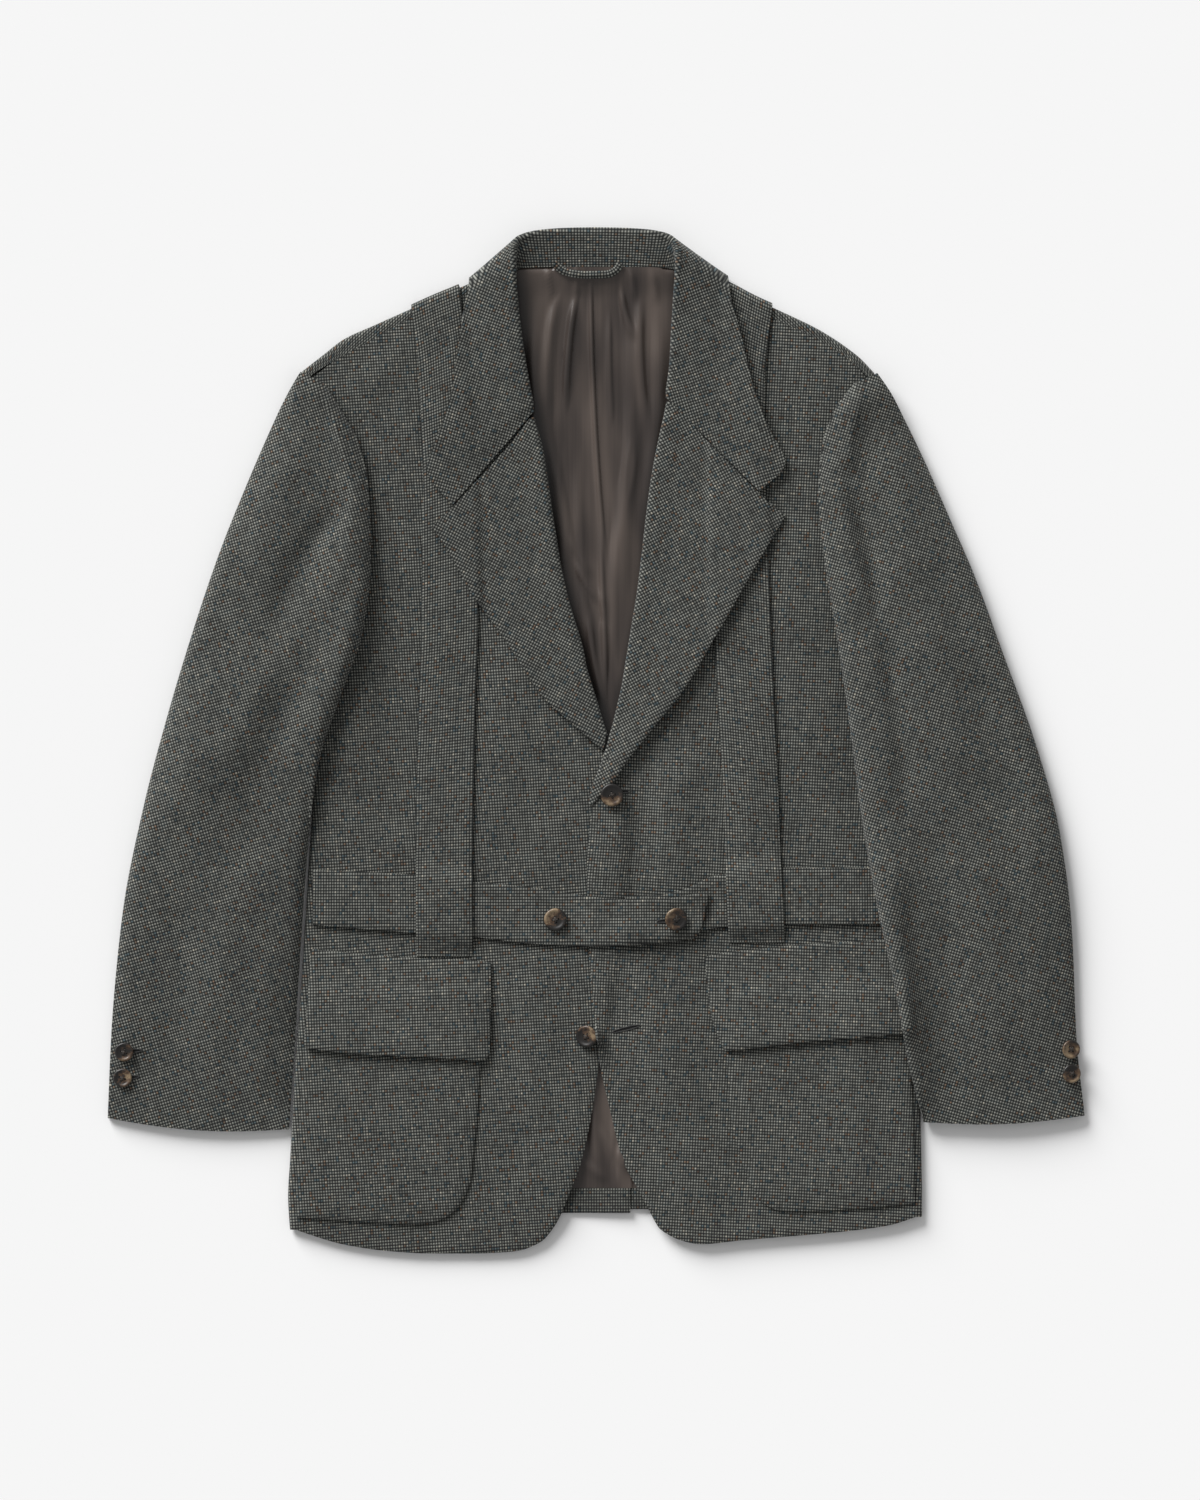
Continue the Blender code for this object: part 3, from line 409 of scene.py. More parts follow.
def tweedMaterial(name, look, brightness=1.0):
    finish, tree, shader = newMaterial(name)
    start = Wire(tree, None)
    grain = start.made("ShaderNodeUVMap", settings={"uv_map": "grain"})
    sway = grain.made("ShaderNodeTexNoise", 1, None, Vector=grain, Scale=22.0, Detail=1.0)
    sway = sway.made("ShaderNodeVectorMath", 0, {"operation": "SUBTRACT"}, at0=sway, at1=(0.5,) * 3)
    sway = sway.made("ShaderNodeVectorMath", 0, {"operation": "SCALE"}, at0=sway, Scale=0.0010)
    place = sway.made("ShaderNodeVectorMath", 0, {"operation": "ADD"}, at0=grain, at1=sway)
    parts = place.made("ShaderNodeSeparateXYZ", Vector=place)
    u, v = parts, Wire(tree, parts.socket.node.outputs[1])
    u = u / (look["acrossPitch"] * mm)
    v = v / (look["alongPitch"] * mm)
    column, row = (u + 0.5).floor(), (v + 0.5).floor()
    warp, weft = u.wave(), v.wave()
    dot = (warp * weft) ** 0.9
    yarns = (warp + weft) * 0.5

    single = column.random(row)                                  # each dot its own strength
    warpSlub = column.vector(v * 0.045).noise(1.7, 3.0)          # long streaks along the cloth
    weftSlub = (u * 0.06).vector(row, 7.0).noise(1.7, 3.0)       # and across it
    slub = (warpSlub + weftSlub - 1.0) * (2.4 * look["slub"])
    patch = grain.noise(38.0, 3.0) - 0.5
    strength = (0.52 + single * 0.46 + slub + patch * 0.35).clamped()

    ground, light, thread = (colour(*look[k]) for k in ("ground", "dot", "thread"))
    base = (yarns * yarns * (0.62 + slub)).clamped().blend(ground, thread)
    tint = column.random(row, 3.0)
    fleck = light
    for k, shade in enumerate(look["fleck"]):
        share = look["fleckShare"]
        chosen = tint.smooth(k * share + 0.002, k * share + 0.004)
        chosen = chosen * (1.0 - tint.smooth((k + 1) * share, (k + 1) * share + 0.002))
        fleck = chosen.blend(fleck, colour(*shade))
    cool = grain.noise(150.0, 1.0).smooth(0.5, 0.75) * 0.5
    base = cool.blend(base, colour(28, 40, 44))
    mixed = (dot * strength).clamped().blend(base, fleck)
    scaled = mixed.made("ShaderNodeMix", 2, {"data_type": "RGBA", "blend_type": "MULTIPLY"}, at0=1.0,
                        at6=mixed, at7=(brightness, brightness, brightness, 1))
    feed(tree, shader, "Base Color", scaled)
    relief = (dot * (0.6 + single * 0.4)) + yarns * 0.35
    bump = relief.made("ShaderNodeBump", "Normal", None, Height=relief, Strength=look["bump"],
                       Distance=0.0005)
    feed(tree, shader, "Normal", bump)
    setAll(shader, Roughness=0.92, Sheen_Weight=0.12, Sheen_Roughness=0.6)
    shader.inputs["Specular IOR Level"].default_value = 0.12
    return finish


satinLook = {
    "shade": (84, 74, 68),
    "deep": (52, 45, 42),
    "roughness": 0.34,
    "streak": 0.16,
    "paintedShade": (16, 13, 12),       # painted shade where it runs in under the edges in front
}


def satinMaterial(look):
    finish, tree, shader = newMaterial("lining_satin")
    start = Wire(tree, None)
    grain = start.made("ShaderNodeUVMap", settings={"uv_map": "grain"})
    parts = grain.made("ShaderNodeSeparateXYZ", Vector=grain)
    u, v = parts, Wire(tree, parts.socket.node.outputs[1])
    streak = (u * 420.0).vector(v * 9.0).noise(1.0, 4.0, 0.6)
    cloud = (u * 26.0).vector(v * 7.0).noise(1.0, 2.0)
    share = ((streak - 0.5) * look["streak"] * 4 + cloud.smooth(0.35, 0.65)).clamped()
    shade = share.blend(colour(*look["deep"]), colour(*look["shade"]))
    # painted shade: the lining's colour darkens towards the edges it runs in under
    paintedShade = start.made("ShaderNodeAttribute", "Fac", {"attribute_name": "paintedShade"})
    feed(tree, shader, "Base Color", paintedShade.blend(shade, colour(*look["paintedShade"])))
    twill = (u * 900.0 + v * 900.0).wave()
    bump = twill.made("ShaderNodeBump", "Normal", None, Height=twill + streak * 0.6, Strength=0.08,
                      Distance=0.0003)
    feed(tree, shader, "Normal", bump)
    setAll(shader, Roughness=look["roughness"], Sheen_Weight=0.05)
    return finish


hornLook = {
    "dark": (20, 17, 15),
    "middle": (72, 53, 37),
    "light": (128, 110, 86),
    "roughness": 0.42,
}


def hornMaterial(look):
    finish, tree, shader = newMaterial("horn")
    start = Wire(tree, None)
    place = start.made("ShaderNodeTexCoord", "Object")
    tone = start.made("ShaderNodeAttribute", "Fac", {"attribute_name": "tone"})
    large = place.noise(150.0, 3.0, 0.6)
    fine = place.noise(620.0, 3.0, 0.6)
    value = tone + (large - 0.5) * 1.3 + (fine - 0.5) * 0.35
    first = value.smooth(0.32, 0.52).blend(colour(*look["dark"]), colour(*look["middle"]))
    feed(tree, shader, "Base Color", value.smooth(0.5, 0.78).blend(first, colour(*look["light"])))
    setAll(shader, Roughness=look["roughness"], Coat_Weight=0.06)
    return finish


def plainMaterial(name, shade, roughness, sheen=0.0):
    finish, tree, shader = newMaterial(name)
    setAll(shader, Base_Color=colour(*shade), Roughness=roughness, Sheen_Weight=sheen)
    return finish


tweed = tweedMaterial("tweed", tweedLook)
tweedSleeve = tweedMaterial("tweed_sleeve", tweedLook, 0.98)
# a darker copy of the tweed for the turned-up hem: painted shade for the recess it lies in
tweedHemShaded = tweedMaterial("tweed_hem", tweedLook, 0.78)
satin = satinMaterial(satinLook)
horn = hornMaterial(hornLook)
sewingThread = plainMaterial("sewing_thread", (62, 62, 58), 0.8, 0.2)
buttonThread = plainMaterial("button_thread", (52, 44, 38), 0.7, 0.2)
holeThread = plainMaterial("buttonhole_thread", (34, 34, 33), 0.85, 0.2)
print("materials made")


# The back, its lining and the turned-up hem

bodyLines = Table(
    "y sideRight edgeRight edgeLeft sideLeft",
    (-400, -243.5, -41.0, 56.0, 261.0),
    (-385, -244.8, -30.5, 47.6, 261.0),
    (-365, -245.8, -22.0, 37.2, 261.0),
    (-337, -244.2, -11.6, 22.3, 260.6),
    (-300, -242.2, -3.5, 12.8, 259.8),
    (-257, -239.8, 2.8, 3.4, 257.2),
    (-209, -236.0, 10.8, -1.8, 254.0),
    (-153, -232.5, 18.8, -5.8, 249.3),
    (-97, -229.0, 24.0, -6.4, 244.5),
    (-49, -226.0, 25.2, -1.0, 239.8),
    (-23, -224.8, 12.0, 9.5, 237.6),
    (-12, -224.2, 8.6, 13.0, 236.6),
    (1, -223.5, -3.6, 17.0, 235.4),
    (31, -221.5, -9.6, 25.0, 232.0),
    (66, -218.5, -14.8, 31.0, 227.2),
    (111, -210.5, -27.6, 38.4, 218.5),
    (152, -199.6, -36.6, 45.3, 206.8),
    (203, -196.0, -46.0, 52.0, 199.3),
    (258, -208.0, -55.0, 61.4, 204.3),
    (291, -229.2, -62.0, 67.0, 219.6),
    (359, -250.0, -74.8, 76.0, 240.0),
)

hemLine = {
    "right": Table("x y", (-244, -390), (-232, -394.5), (-200, -404), (-166, -409), (-132, -411),
                   (-96, -411), (-72, -410), (-60, -408.5), (-48, -404), (-40, -399)),
    "left": Table("x y", (51, -391), (57, -395), (67, -400), (84, -403.5), (116, -400.5),
                  (170, -396), (202, -393), (234, -388.5), (261, -380)),
}

shoulderLine = {
    "right": Table("x seam edge", (-234, 286, 294), (-216, 298, 308), (-201, 306.5, 319.5),
                   (-176, 320.5, 331), (-148, 336, 343.5), (-128, 345, 352.5), (-111, 352.5, 359.5),
                   (-92, 358.5, 368), (-75, 360, 376)),
    "left": Table("x seam edge", (76, 362, 377.5), (92, 360.5, 369.5), (109, 352.5, 361),
                  (128, 343, 351), (149, 333, 341.5), (176, 320, 328.5), (191, 311.5, 319.5),
                  (201, 304, 312.5), (210, 296.5, 305.5), (222, 284.5, 293)),
}

backShape = {
    "wall": 2.0, "hem": {"right": -379.0, "left": -376.0}, "seamFoot": 28.0, "neckY": 377.0,
    "bandRoll": 3.0, "neckLift": 2.4, "neckStart": 265.0, "ventStep": 1.2, "sideGap": 3.0,
    "ceiling": 5.4, "columns": 46, "rows": 110,
}

frontShape = {
    "wall": 2.0, "level": 7.0, "deepest": -1.4,
    "hemDrop": {"right": 1.6, "left": -0.4}, "sideRoll": 4.5, "sideTurn": 18.0,
    "armhole": (136.0, 236.0), "tipDip": 2.5, "columns": 58, "rows": 170, "rollSteps": 12,
    "grain": {"right": 4.0, "left": -3.0}, "foldDepth": 1.5,
    # x0 y0 x1 y1 bow width height: from the photo, ridges over 0 and troughs under
    "folds": {
        "right": [
            (-205, 190, -185, -60, 6, 22, 2.2), (-168, 150, -172, -110, -4, 16, -0.9),
            (-150, -190, -70, -330, 10, 30, 1.6), (-60, 90, -75, -90, 5, 24, 1.6),
            (-30, -60, -44, -120, 0, 18, 1.2), (-52, -170, -36, -380, -6, 26, 1.8),
            (-205, -60, -150, -100, 0, 16, 1.0), (-120, 250, -75, 330, 0, 18, 0.8),
            (-190, 270, -150, 320, 0, 14, 0.9), (-20, -230, -40, -330, 0, 14, -0.8),
        ],
        "left": [
            (44, 0, 40, -112, 6, 12, -1.3), (70, -10, 66, -120, 5, 20, 2.6),
            (24, -150, 52, -300, -8, 22, 2.0), (60, -190, 96, -390, 6, 26, 1.8),
            (150, 150, 190, -40, 8, 26, 2.2), (205, 120, 214, -80, 4, 14, -0.8),
            (118, 60, 124, -90, -3, 18, 1.4), (20, -60, 8, -120, 0, 14, 1.2),
            (212, -200, 216, -370, 3, 22, 1.6), (190, 250, 150, 300, 0, 14, 0.9),
        ],
    },
}


def backLevel(x, y):
    # middle of the back's wall: flat, raised over the folded collar at the neck
    across = 1 - ease((abs(x) - 112) / 35)
    return backShape["wall"] / 2 + backShape["neckLift"] * ease((y - backShape["neckStart"]) / 50) * across


def ventLift(spot, side):
    # the right back lies on the left one below the centre seam
    if side == "left":
        return 0.0
    return backShape["ventStep"] * ease((spot[0] + 12) / 36) * ease((-190 - spot[1]) / 60)


def makeBack(side):
    shape, sign = backShape, signOf[side]
    shoulder = shoulderLine[side]
    keys = shoulder.rows[:, 0]
    neckX, tipX = (keys[-1], keys[0]) if side == "right" else (keys[0], keys[-1])
    hem = shape["hem"][side]
    columns = spread(shape["columns"], 0.2)

    def shoulderPoint(u, column):
        x = mix(neckX, tipX, u)
        return np.array((x, shoulder(column, x)))

    def sideX(y):
        turned = 1 + frontShape["sideRoll"] + frontShape["sideTurn"] + shape["sideGap"]
        return bodyLines("side" + side.title(), y) - sign * turned * (1 - ease((y - 236) / 50))

    seam = [np.array((mix(shape["seamFoot"] + sign * 0.15, sign * 0.15, t),
                      mix(hem, shape["neckY"], t))) for t in spread(shape["rows"], 0.2)]
    neckEnd = shoulderPoint(0, "edge") - (0, shape["bandRoll"])
    inner = seam + [mix(seam[-1], neckEnd, t) for t in np.linspace(0.08, 0.95, 12)]
    last = shoulderPoint(1, "edge")[1] - 6
    heights = [mix(hem, last - 3, t) for t in spread(len(inner) - 1, 0.2)]
    grid = []
    for start, y in zip(inner, heights):     # the flat part, up to the shoulder's edge
        end = np.array((sideX(y), y))
        row = [mix(start, end, u) for u in columns]
        grid.append([(*p, backLevel(*p) + ventLift(p, side)) for p in row])
    flatRows = len(grid)
    for angle in range(-90, 91, 18):         # over the edge and down to the seam in front
        row, turn = [], math.radians(angle)
        for u in columns:
            edge, band = shoulderPoint(u, "edge"), shoulderPoint(u, "seam")
            away = (edge - band) / np.linalg.norm(edge - band)
            spot = edge - away * (1 + shape["bandRoll"] * (1 - math.cos(turn)))
            row.append((*spot, mix(backLevel(*spot), frontShape["level"], (1 + math.sin(turn)) / 2)))
        grid.append(row)
    over = np.array(grid[-1])
    for t in (0.35, 0.7, 1.0):
        ends = np.array([(*shoulderPoint(u, "seam"), frontShape["level"]) for u in columns])
        grid.append(mix(over, ends, t))
    grid = np.array([np.array(row, float) for row in grid])
    uv = grid[:, :, :2].copy()
    gained = edgeLengths(grid)[2] - edgeLengths(grid)[2][flatRows]
    for j, u in enumerate(columns):          # the grain runs on over the edge unbroken
        away = shoulderPoint(u, "edge") - shoulderPoint(u, "seam")
        uv[flatRows:, j] = grid[flatRows, j, :2] + gained[flatRows:, j, None] * away / np.linalg.norm(away)
    uv *= mm
    return shell("back_" + side, grid, uv, tweed, shape["wall"])


liningShape = {
    "wall": 0.8, "gap": 0.3, "columns": 190, "rows": 230, "neckRise": 4.6, "low": -359.0, "high": 376.9,
    "foldDepth": 2.3, "foldLimit": 3.4, "foldFloor": 0.15, "inView": 100.0,
    "edge": Table("y right left", (-359, -214, 232), (0, -194, 206), (180, -168, 172),
                  (290, -160, 160), (320, -148, 148), (350, -108, 108), (376, -69, 69)),
    # the two edges that it runs in under, and how wide and strong the shade painted beside them is
    "rightEdge": Table("y x shadow strength", (-359, -25, 3, 0.0), (-60, 9, 4, 0.0), (3, 9.6, 5, 0.85),
                       (66, -10, 7, 0.85), (111, -22.8, 9, 0.85), (173, -33.2, 9, 0.85),
                       (234, -42.6, 11, 0.85), (271, -53.4, 15, 0.9), (319, -61.7, 17, 0.9),
                       (351, -63.6, 15, 0.85), (377, -65, 9, 0.7)),
    "leftEdge": Table("y x shadow strength", (-359, 60, 3, 0.0), (-60, 15, 4, 0.0), (15, 14.8, 3, 0.3),
                      (71, 26.8, 4, 0.4), (126, 34.4, 4, 0.4), (207, 44.4, 5, 0.4), (270, 57.2, 7, 0.45),
                      (351, 64, 7, 0.45), (377, 65, 5, 0.4)),
    # x0 y0 x1 y1 bow width height
    "folds": [
        (-4, 366, 7, 152, 2, 2.2, 1.3), (-0.5, 350, 10, 160, 2, 3.0, -0.7), (-16, 352, -24, 268, 2, 3.4, 1.6),
        (-11, 350, -17, 250, 2, 3.2, -0.8), (-31, 352, -38, 252, 4, 4.6, 1.5),
        (-25, 330, -30, 220, 2, 3.5, -0.8),
        (-46, 345, -44, 190, 4, 5.5, 1.0), (-38, 250, -22, 140, -4, 6, 1.1),
        (-30, 230, -12, 120, -3, 4, -0.7),
        (21, 360, 30, 322, 2, 3, 1.4), (15, 355, 19, 205, 0, 4, -0.7), (12, 340, 15, 250, 2, 3, 0.8),
        (36, 352, 42, 250, 3, 4.0, 1.5), (42, 340, 44, 260, 2, 3, -0.6), (28, 330, 24, 190, -3, 6, 1.1),
        (50, 340, 40, 180, -4, 6, 0.9), (32, 240, 22, 110, 3, 6, 1.1), (20, 180, 12, 60, 2, 5, 0.9),
        (-17, 143, 4, 110, 2, 3, 1.0), (-12, 128, 8, 92, 2, 2.6, -0.6), (-20, 160, -4, 132, 1, 3, 0.8),
        (-5, 96, 7, 30, 2, 3, 1.0), (4, 160, 9, 30, 0, 2.6, 1.1), (12, 120, 10, 20, 0, 4, -0.6),
        (-14, 210, -2, 60, 3, 5, 0.9), (-40, 376, -36, 350, 0, 2.4, 0.9), (-33, 376, -31, 352, 0, 2.2, -0.6),
        (-16, 377, -15, 356, 0, 2.2, 0.9), (28, 377, 31, 352, 0, 2.6, 1.0), (46, 376, 48, 350, 0, 2.6, 0.8),
        (-2, -262, 4, -350, 2, 5, 1.2), (14, -280, 20, -352, -2, 5, 1.0), (-10, -300, -18, -356, 0, 5, 0.9),
        (4, -310, 26, -342, 2, 4, 0.9), (-14, -330, 8, -352, 2, 3, 0.8), (20, -300, 14, -352, 0, 3, -0.6),
    ],
}


def middleOut(count):
    # stations from 0 to 1, closest together in the middle, where the lining shows
    turns = [2 * k / count - 1 for k in range(count + 1)]
    return [0.5 + 0.5 * (0.3 * t + 0.7 * t ** 3) for t in turns]


def makeLining():
    shape = liningShape
    edge = shape["edge"]
    plan = panelPlan(lambda y: edge("right", y), lambda y: edge("left", y),
                     lambda x: shape["low"], lambda x: shape["high"], middleOut(shape["columns"]),
                     spread(shape["rows"], 0.1))
    heights = closet.lay(plan, ("back_right", "back_left"), shape["wall"], shape["gap"],
                         ceiling=backShape["ceiling"])
    x, y = plan[:, :, 0], plan[:, :, 1]
    folds = shape["foldDepth"] * crease(x, y, shape["folds"])
    inView = ease((shape["inView"] - abs(x)) / 50) * ease((377.5 - y) / 9)
    flat = crease(x, y, [f for f in shape["folds"] if f[-1] > 0])
    heights += np.clip(folds, shape["foldFloor"] * flat, shape["foldLimit"]) * inView
    heights += shape["neckRise"] * ease((y - 352) / 24) * ease((96 - abs(x)) / 30)
    grid = raised(plan, heights)
    piece = shell("lining", grid, grid[:, :, :2] * mm, satin, shape["wall"])
    # painted shade: how dark the lining is painted beside the two edges it runs in under
    paintedShade = np.zeros_like(x)
    for edge, way in ((shape["rightEdge"], 1), (shape["leftEdge"], -1)):
        for i, j in np.ndindex(x.shape):
            inside = way * (x[i, j] - edge("x", y[i, j])) / edge("shadow", y[i, j])
            paintedShade[i, j] = max(paintedShade[i, j], edge("strength", y[i, j]) * (1 - ease(inside * 0.7)))
    depth = piece.data.attributes.new("paintedShade", "FLOAT", "POINT")
    depth.data.foreach_set("value", np.concatenate([paintedShade.ravel()] * 2))
    return piece


hemTurnShape = {"wall": 1.6, "gap": 0.3, "columns": 60, "rows": 6}


def makeHemTurn(side):
    shape = hemTurnShape
    middle = backShape["seamFoot"] + signOf[side] * shape["gap"]
    far = liningShape["edge"](side, liningShape["low"])
    low, high = backShape["hem"][side] + shape["gap"], liningShape["low"] - shape["gap"]
    plan = panelPlan(lambda y: middle, lambda y: far, lambda x: low, lambda x: high,
                     spread(shape["columns"], 0.0), spread(shape["rows"], 0.0))
    grid = raised(plan, closet.lay(plan, ("back_" + side,), shape["wall"], shape["gap"]))
    grid = drooped(grid, ("low", "high", "left"), 0.4, 2.0)
    return shell("hem_turn_" + side, grid, grainUv(grid, 0), tweedHemShaded, shape["wall"])


# The fronts, which roll round the sides and lie under the back's edges

def sideWrap(y):
    start, end = frontShape["armhole"]
    return 1 - ease((y - start) / (end - start))


def sidePath(level, wrap):
    # a front's section round its side, as distances from the side line and heights
    shape = frontShape
    low = shape["wall"] / 2
    bend = math.pi * max(0.08, min(1.0, 2 * wrap))
    opened = math.pi / bend
    wide, high = shape["sideRoll"] * opened, (level - low) / 2 * opened
    start = wide if bend > math.pi / 2 else wide * math.sin(bend)
    path = []
    for k in range(shape["rollSteps"] + 1):
        angle = bend * k / shape["rollSteps"]
        path.append((start - wide * math.sin(angle), max(low, level - high * (1 - math.cos(angle)))))
    turn = mix(2.0, shape["sideTurn"], max(0.0, 2 * wrap - 1))
    reach, height = path[-1]
    for t in (0.33, 0.66, 1.0):
        path.append((reach - t * turn * math.cos(bend), max(low, height - t * turn * math.sin(bend))))
    return path


def makeFront(side, under=()):
    shape, sign = frontShape, signOf[side]
    name = side.title()

    def sideLine(y):
        return bodyLines("side" + name, y) - sign * shape["wall"] / 2

    def flatEnd(y):
        return sideLine(y) - sign * sidePath(shape["level"], sideWrap(y))[0][0]

    def top(x):
        return shoulderLine[side]("seam", x) - 0.1 - shape["tipDip"] * ease((abs(x) - 206) / 20)

    plan = panelPlan(lambda y: bodyLines("edge" + name, y), flatEnd, lambda x: hemLine[side]("y", x),
                     top, spread(shape["columns"], 0.35), spread(shape["rows"], 0.15))
    x, y = plan[:, :, 0], plan[:, :, 1]
    heights = shape["level"] - shape["hemDrop"][side] * ease((backShape["hem"][side] - y) / 30)
    if under:
        heights = np.maximum(heights, closet.lay(plan, under, shape["wall"]))
    inside = ease((abs(bodyLines("side" + name, 0)) - abs(x)) / 30) * ease((y + 395) / 30)
    inside = inside * ease((y[-1:] - y) / 25)          # level again where it meets the back
    heights += np.maximum(shape["foldDepth"] * crease(x, y, shape["folds"][side]), shape["deepest"]) * inside
    flat = drooped(raised(plan, heights), ("left", "low"), 0.8, 3.0)
    grid = []
    for row in flat:
        yEnd = row[-1][1]
        points = [tuple(p) for p in row]
        for reach, height in sidePath(row[-1][2], sideWrap(yEnd))[1:]:
            at = sideLine(yEnd) - sign * reach
            points.append((at, min(yEnd, top(at)), height))
        grid.append(points)
    grid = np.array(grid, float)
    uv = grainUv(grid, shape["grain"][side], 30)
    return shell("front_" + side, grid, uv, tweed, shape["wall"])


# What lies on the fronts

beltShape = {
    "wall": 2.8, "rows": 16, "grain": 0.0,
    "line": {
        "right": Table("x top low", (-226, -105, -148), (-188, -106.4, -151), (-145, -108.8, -154.4),
                       (-98, -114.4, -157.6), (-48, -119.2, -163.2), (3, -127, -165), (28, -128.8, -164),
                       (54, -128, -161.5), (75, -124.6, -159.2), (90, -121.6, -154)),
        "left": Table("x top low", (24, -126.4, -160.8), (54, -124.8, -158.4), (67, -121.4, -155),
                      (79, -116.8, -153), (92, -110.4, -151), (104, -108, -149.6), (149, -103.2, -148),
                      (216, -103.2, -147.3), (241, -103, -147.2)),
    },
    "tabEnd": Table("y x", (-157, 80.5), (-147, 85.2), (-130, 88.4), (-121, 89.6)),
    "ends": {"right": -226.0, "left": (24.0, 241.0)},
    # the tab sags and stands off towards its free end
    "standOff": {"right": 1.6, "left": 0.0},
    "folds": {"right": [(-60, -108, 20, -140, -4, 10, 0.5), (0, -160, 60, -126, 6, 12, 0.6)],
              "left": [(110, -106, 140, -146, 0, 12, 0.4)]},
}


def makeBelt(side, under):
    shape = beltShape
    table = shape["line"][side]
    if side == "right":
        inner, outer, count = (lambda y: shape["tabEnd"]("x", y)), (lambda y: shape["ends"][side]), 110
    else:
        start, end = shape["ends"][side]
        inner, outer, count = (lambda y: start), (lambda y: end), 76
    plan = panelPlan(inner, outer, lambda x: table("low", x), lambda x: table("top", x),
                     spread(count, 0.3), spread(shape["rows"], 0.3))
    x, y = plan[:, :, 0], plan[:, :, 1]
    heights = closet.lay(plan, under, shape["wall"], passes=10)
    heights += np.maximum(crease(x, y, shape["folds"][side]), 0)
    heights += shape["standOff"][side] * ease((x + 10) / 70) * ease((abs(y + 140) + 4) / 20)
    grid = drooped(raised(plan, heights), ("left", "low", "high") if side == "right" else
                   ("right", "low", "high"), 0.6, 2.6)
    return shell("belt_" + side, grid, grainUv(grid, shape["grain"]), tweed, shape["wall"])


strapShape = {
    "wall": 2.7, "columns": 16, "rows": 190, "bandRoll": 3.0, "overBack": 2.0,
    "line": {
        "right": Table("y inner outer", (-174, -98.8, -142.8), (-100, -98.8, -143.2), (-45, -98, -142.8),
                       (31, -96.4, -140.4), (97, -94.3, -138.8), (166, -95, -138), (207, -97, -137.2),
                       (255, -100.4, -138.8), (303, -103.6, -141.2), (331, -106, -145), (358, -109, -149)),
        "left": Table("y inner outer", (-163, 106.8, 150.8), (-100, 104.4, 147.6), (-58, 103.6, 146),
                      (31, 98, 142), (111, 94.8, 138.8), (175, 93.2, 137), (239, 93.2, 134.5),
                      (287, 94.8, 134.8), (327, 99.5, 138.5), (362, 105, 144)),
    },
    "end": {"right": -173.5, "left": -162.5},
    "middleRise": 0.5, "lowest": 2.4, "endWall": 0.7, "pressed": 12.0,
}


def makeStrap(side, under):
    shape = strapShape
    table, shoulder = shape["line"][side], shoulderLine[side]
    plan = panelPlan(lambda y: table("inner", y), lambda y: table("outer", y),
                     lambda x: shape["end"][side], lambda x: shoulder("edge", x) - shape["bandRoll"],
                     spread(shape["columns"], 0.3), spread(shape["rows"], 0.1))
    # it thins out at its low end, which is sewn down flat above the flap
    pressed = ease((plan[:, :, 1] - shape["end"][side]) / shape["pressed"])
    wall = mix(shape["endWall"], shape["wall"], pressed)
    heights = closet.lay(plan, under, wall, passes=24)
    u = np.linspace(0, 1, plan.shape[1])
    heights += shape["middleRise"] * np.sin(math.pi * u) * pressed
    flat = drooped(raised(plan, heights), ("left", "right"), 0.6, 2.6)
    grid = [list(map(tuple, row)) for row in flat]
    reach, low = shape["bandRoll"] + shape["overBack"], shape["lowest"]
    for angle in (75, 60, 45, 30, 15, 0, -12, -25):
        turn = math.radians(angle)
        grid.append([(x, y + reach * math.cos(turn), mix(low, z, (1 + math.sin(turn)) / 2))
                     for x, y, z in flat[-1]])
    grid = np.array(grid, float)
    wall = np.pad(wall, ((0, len(grid) - len(wall)), (0, 0)), mode="edge")
    return shell("strap_" + side, grid, arcUv(grid), tweed, wall)


pocketShape = {
    "wall": 2.0, "top": -205.0, "side": 6.5, "grain": {"right": 4.0, "left": -3.0},
    "line": {
        "right": {"low": Table("x y", (-242, -381.5), (-180, -385.6), (-146, -387.2), (-130, -385.6),
                               (-118, -380.5), (-109, -373)),
                  "inner": Table("y x", (-373, -109), (-353, -100.4), (-330, -98), (-296, -94.5),
                                 (-250, -92.5), (-205, -92))},
        "left": {"low": Table("x y", (133, -369.6), (140, -374), (148.4, -376.6), (170, -376.8),
                              (213, -374.4), (258, -370.4)),
                 "inner": Table("y x", (-369.6, 133), (-356, 125), (-335, 116.4), (-302, 108.8),
                                (-251, 105), (-205, 101))},
    },
    "rise": 0.9,
}


def makePocket(side, under):
    shape, sign = pocketShape, signOf[side]
    line = shape["line"][side]
    plan = panelPlan(lambda y: line["inner"]("x", y),
                     lambda y: bodyLines("side" + side.title(), y) - sign * shape["side"],
                     lambda x: line["low"]("y", x), lambda x: shape["top"],
                     spread(60, 0.4), spread(66, 0.4))
    heights = closet.lay(plan, under, shape["wall"])
    grid = raised(plan, heights)
    left, right, low, high = edgeLengths(grid)
    grid[:, :, 2] += shape["rise"] * ease(np.minimum(np.minimum(left, right), low) / 14)
    grid = drooped(grid, ("left", "right", "low"), 0.7, 3.0)
    return shell("pocket_" + side, grid, grainUv(grid, shape["grain"][side]), tweed, shape["wall"])


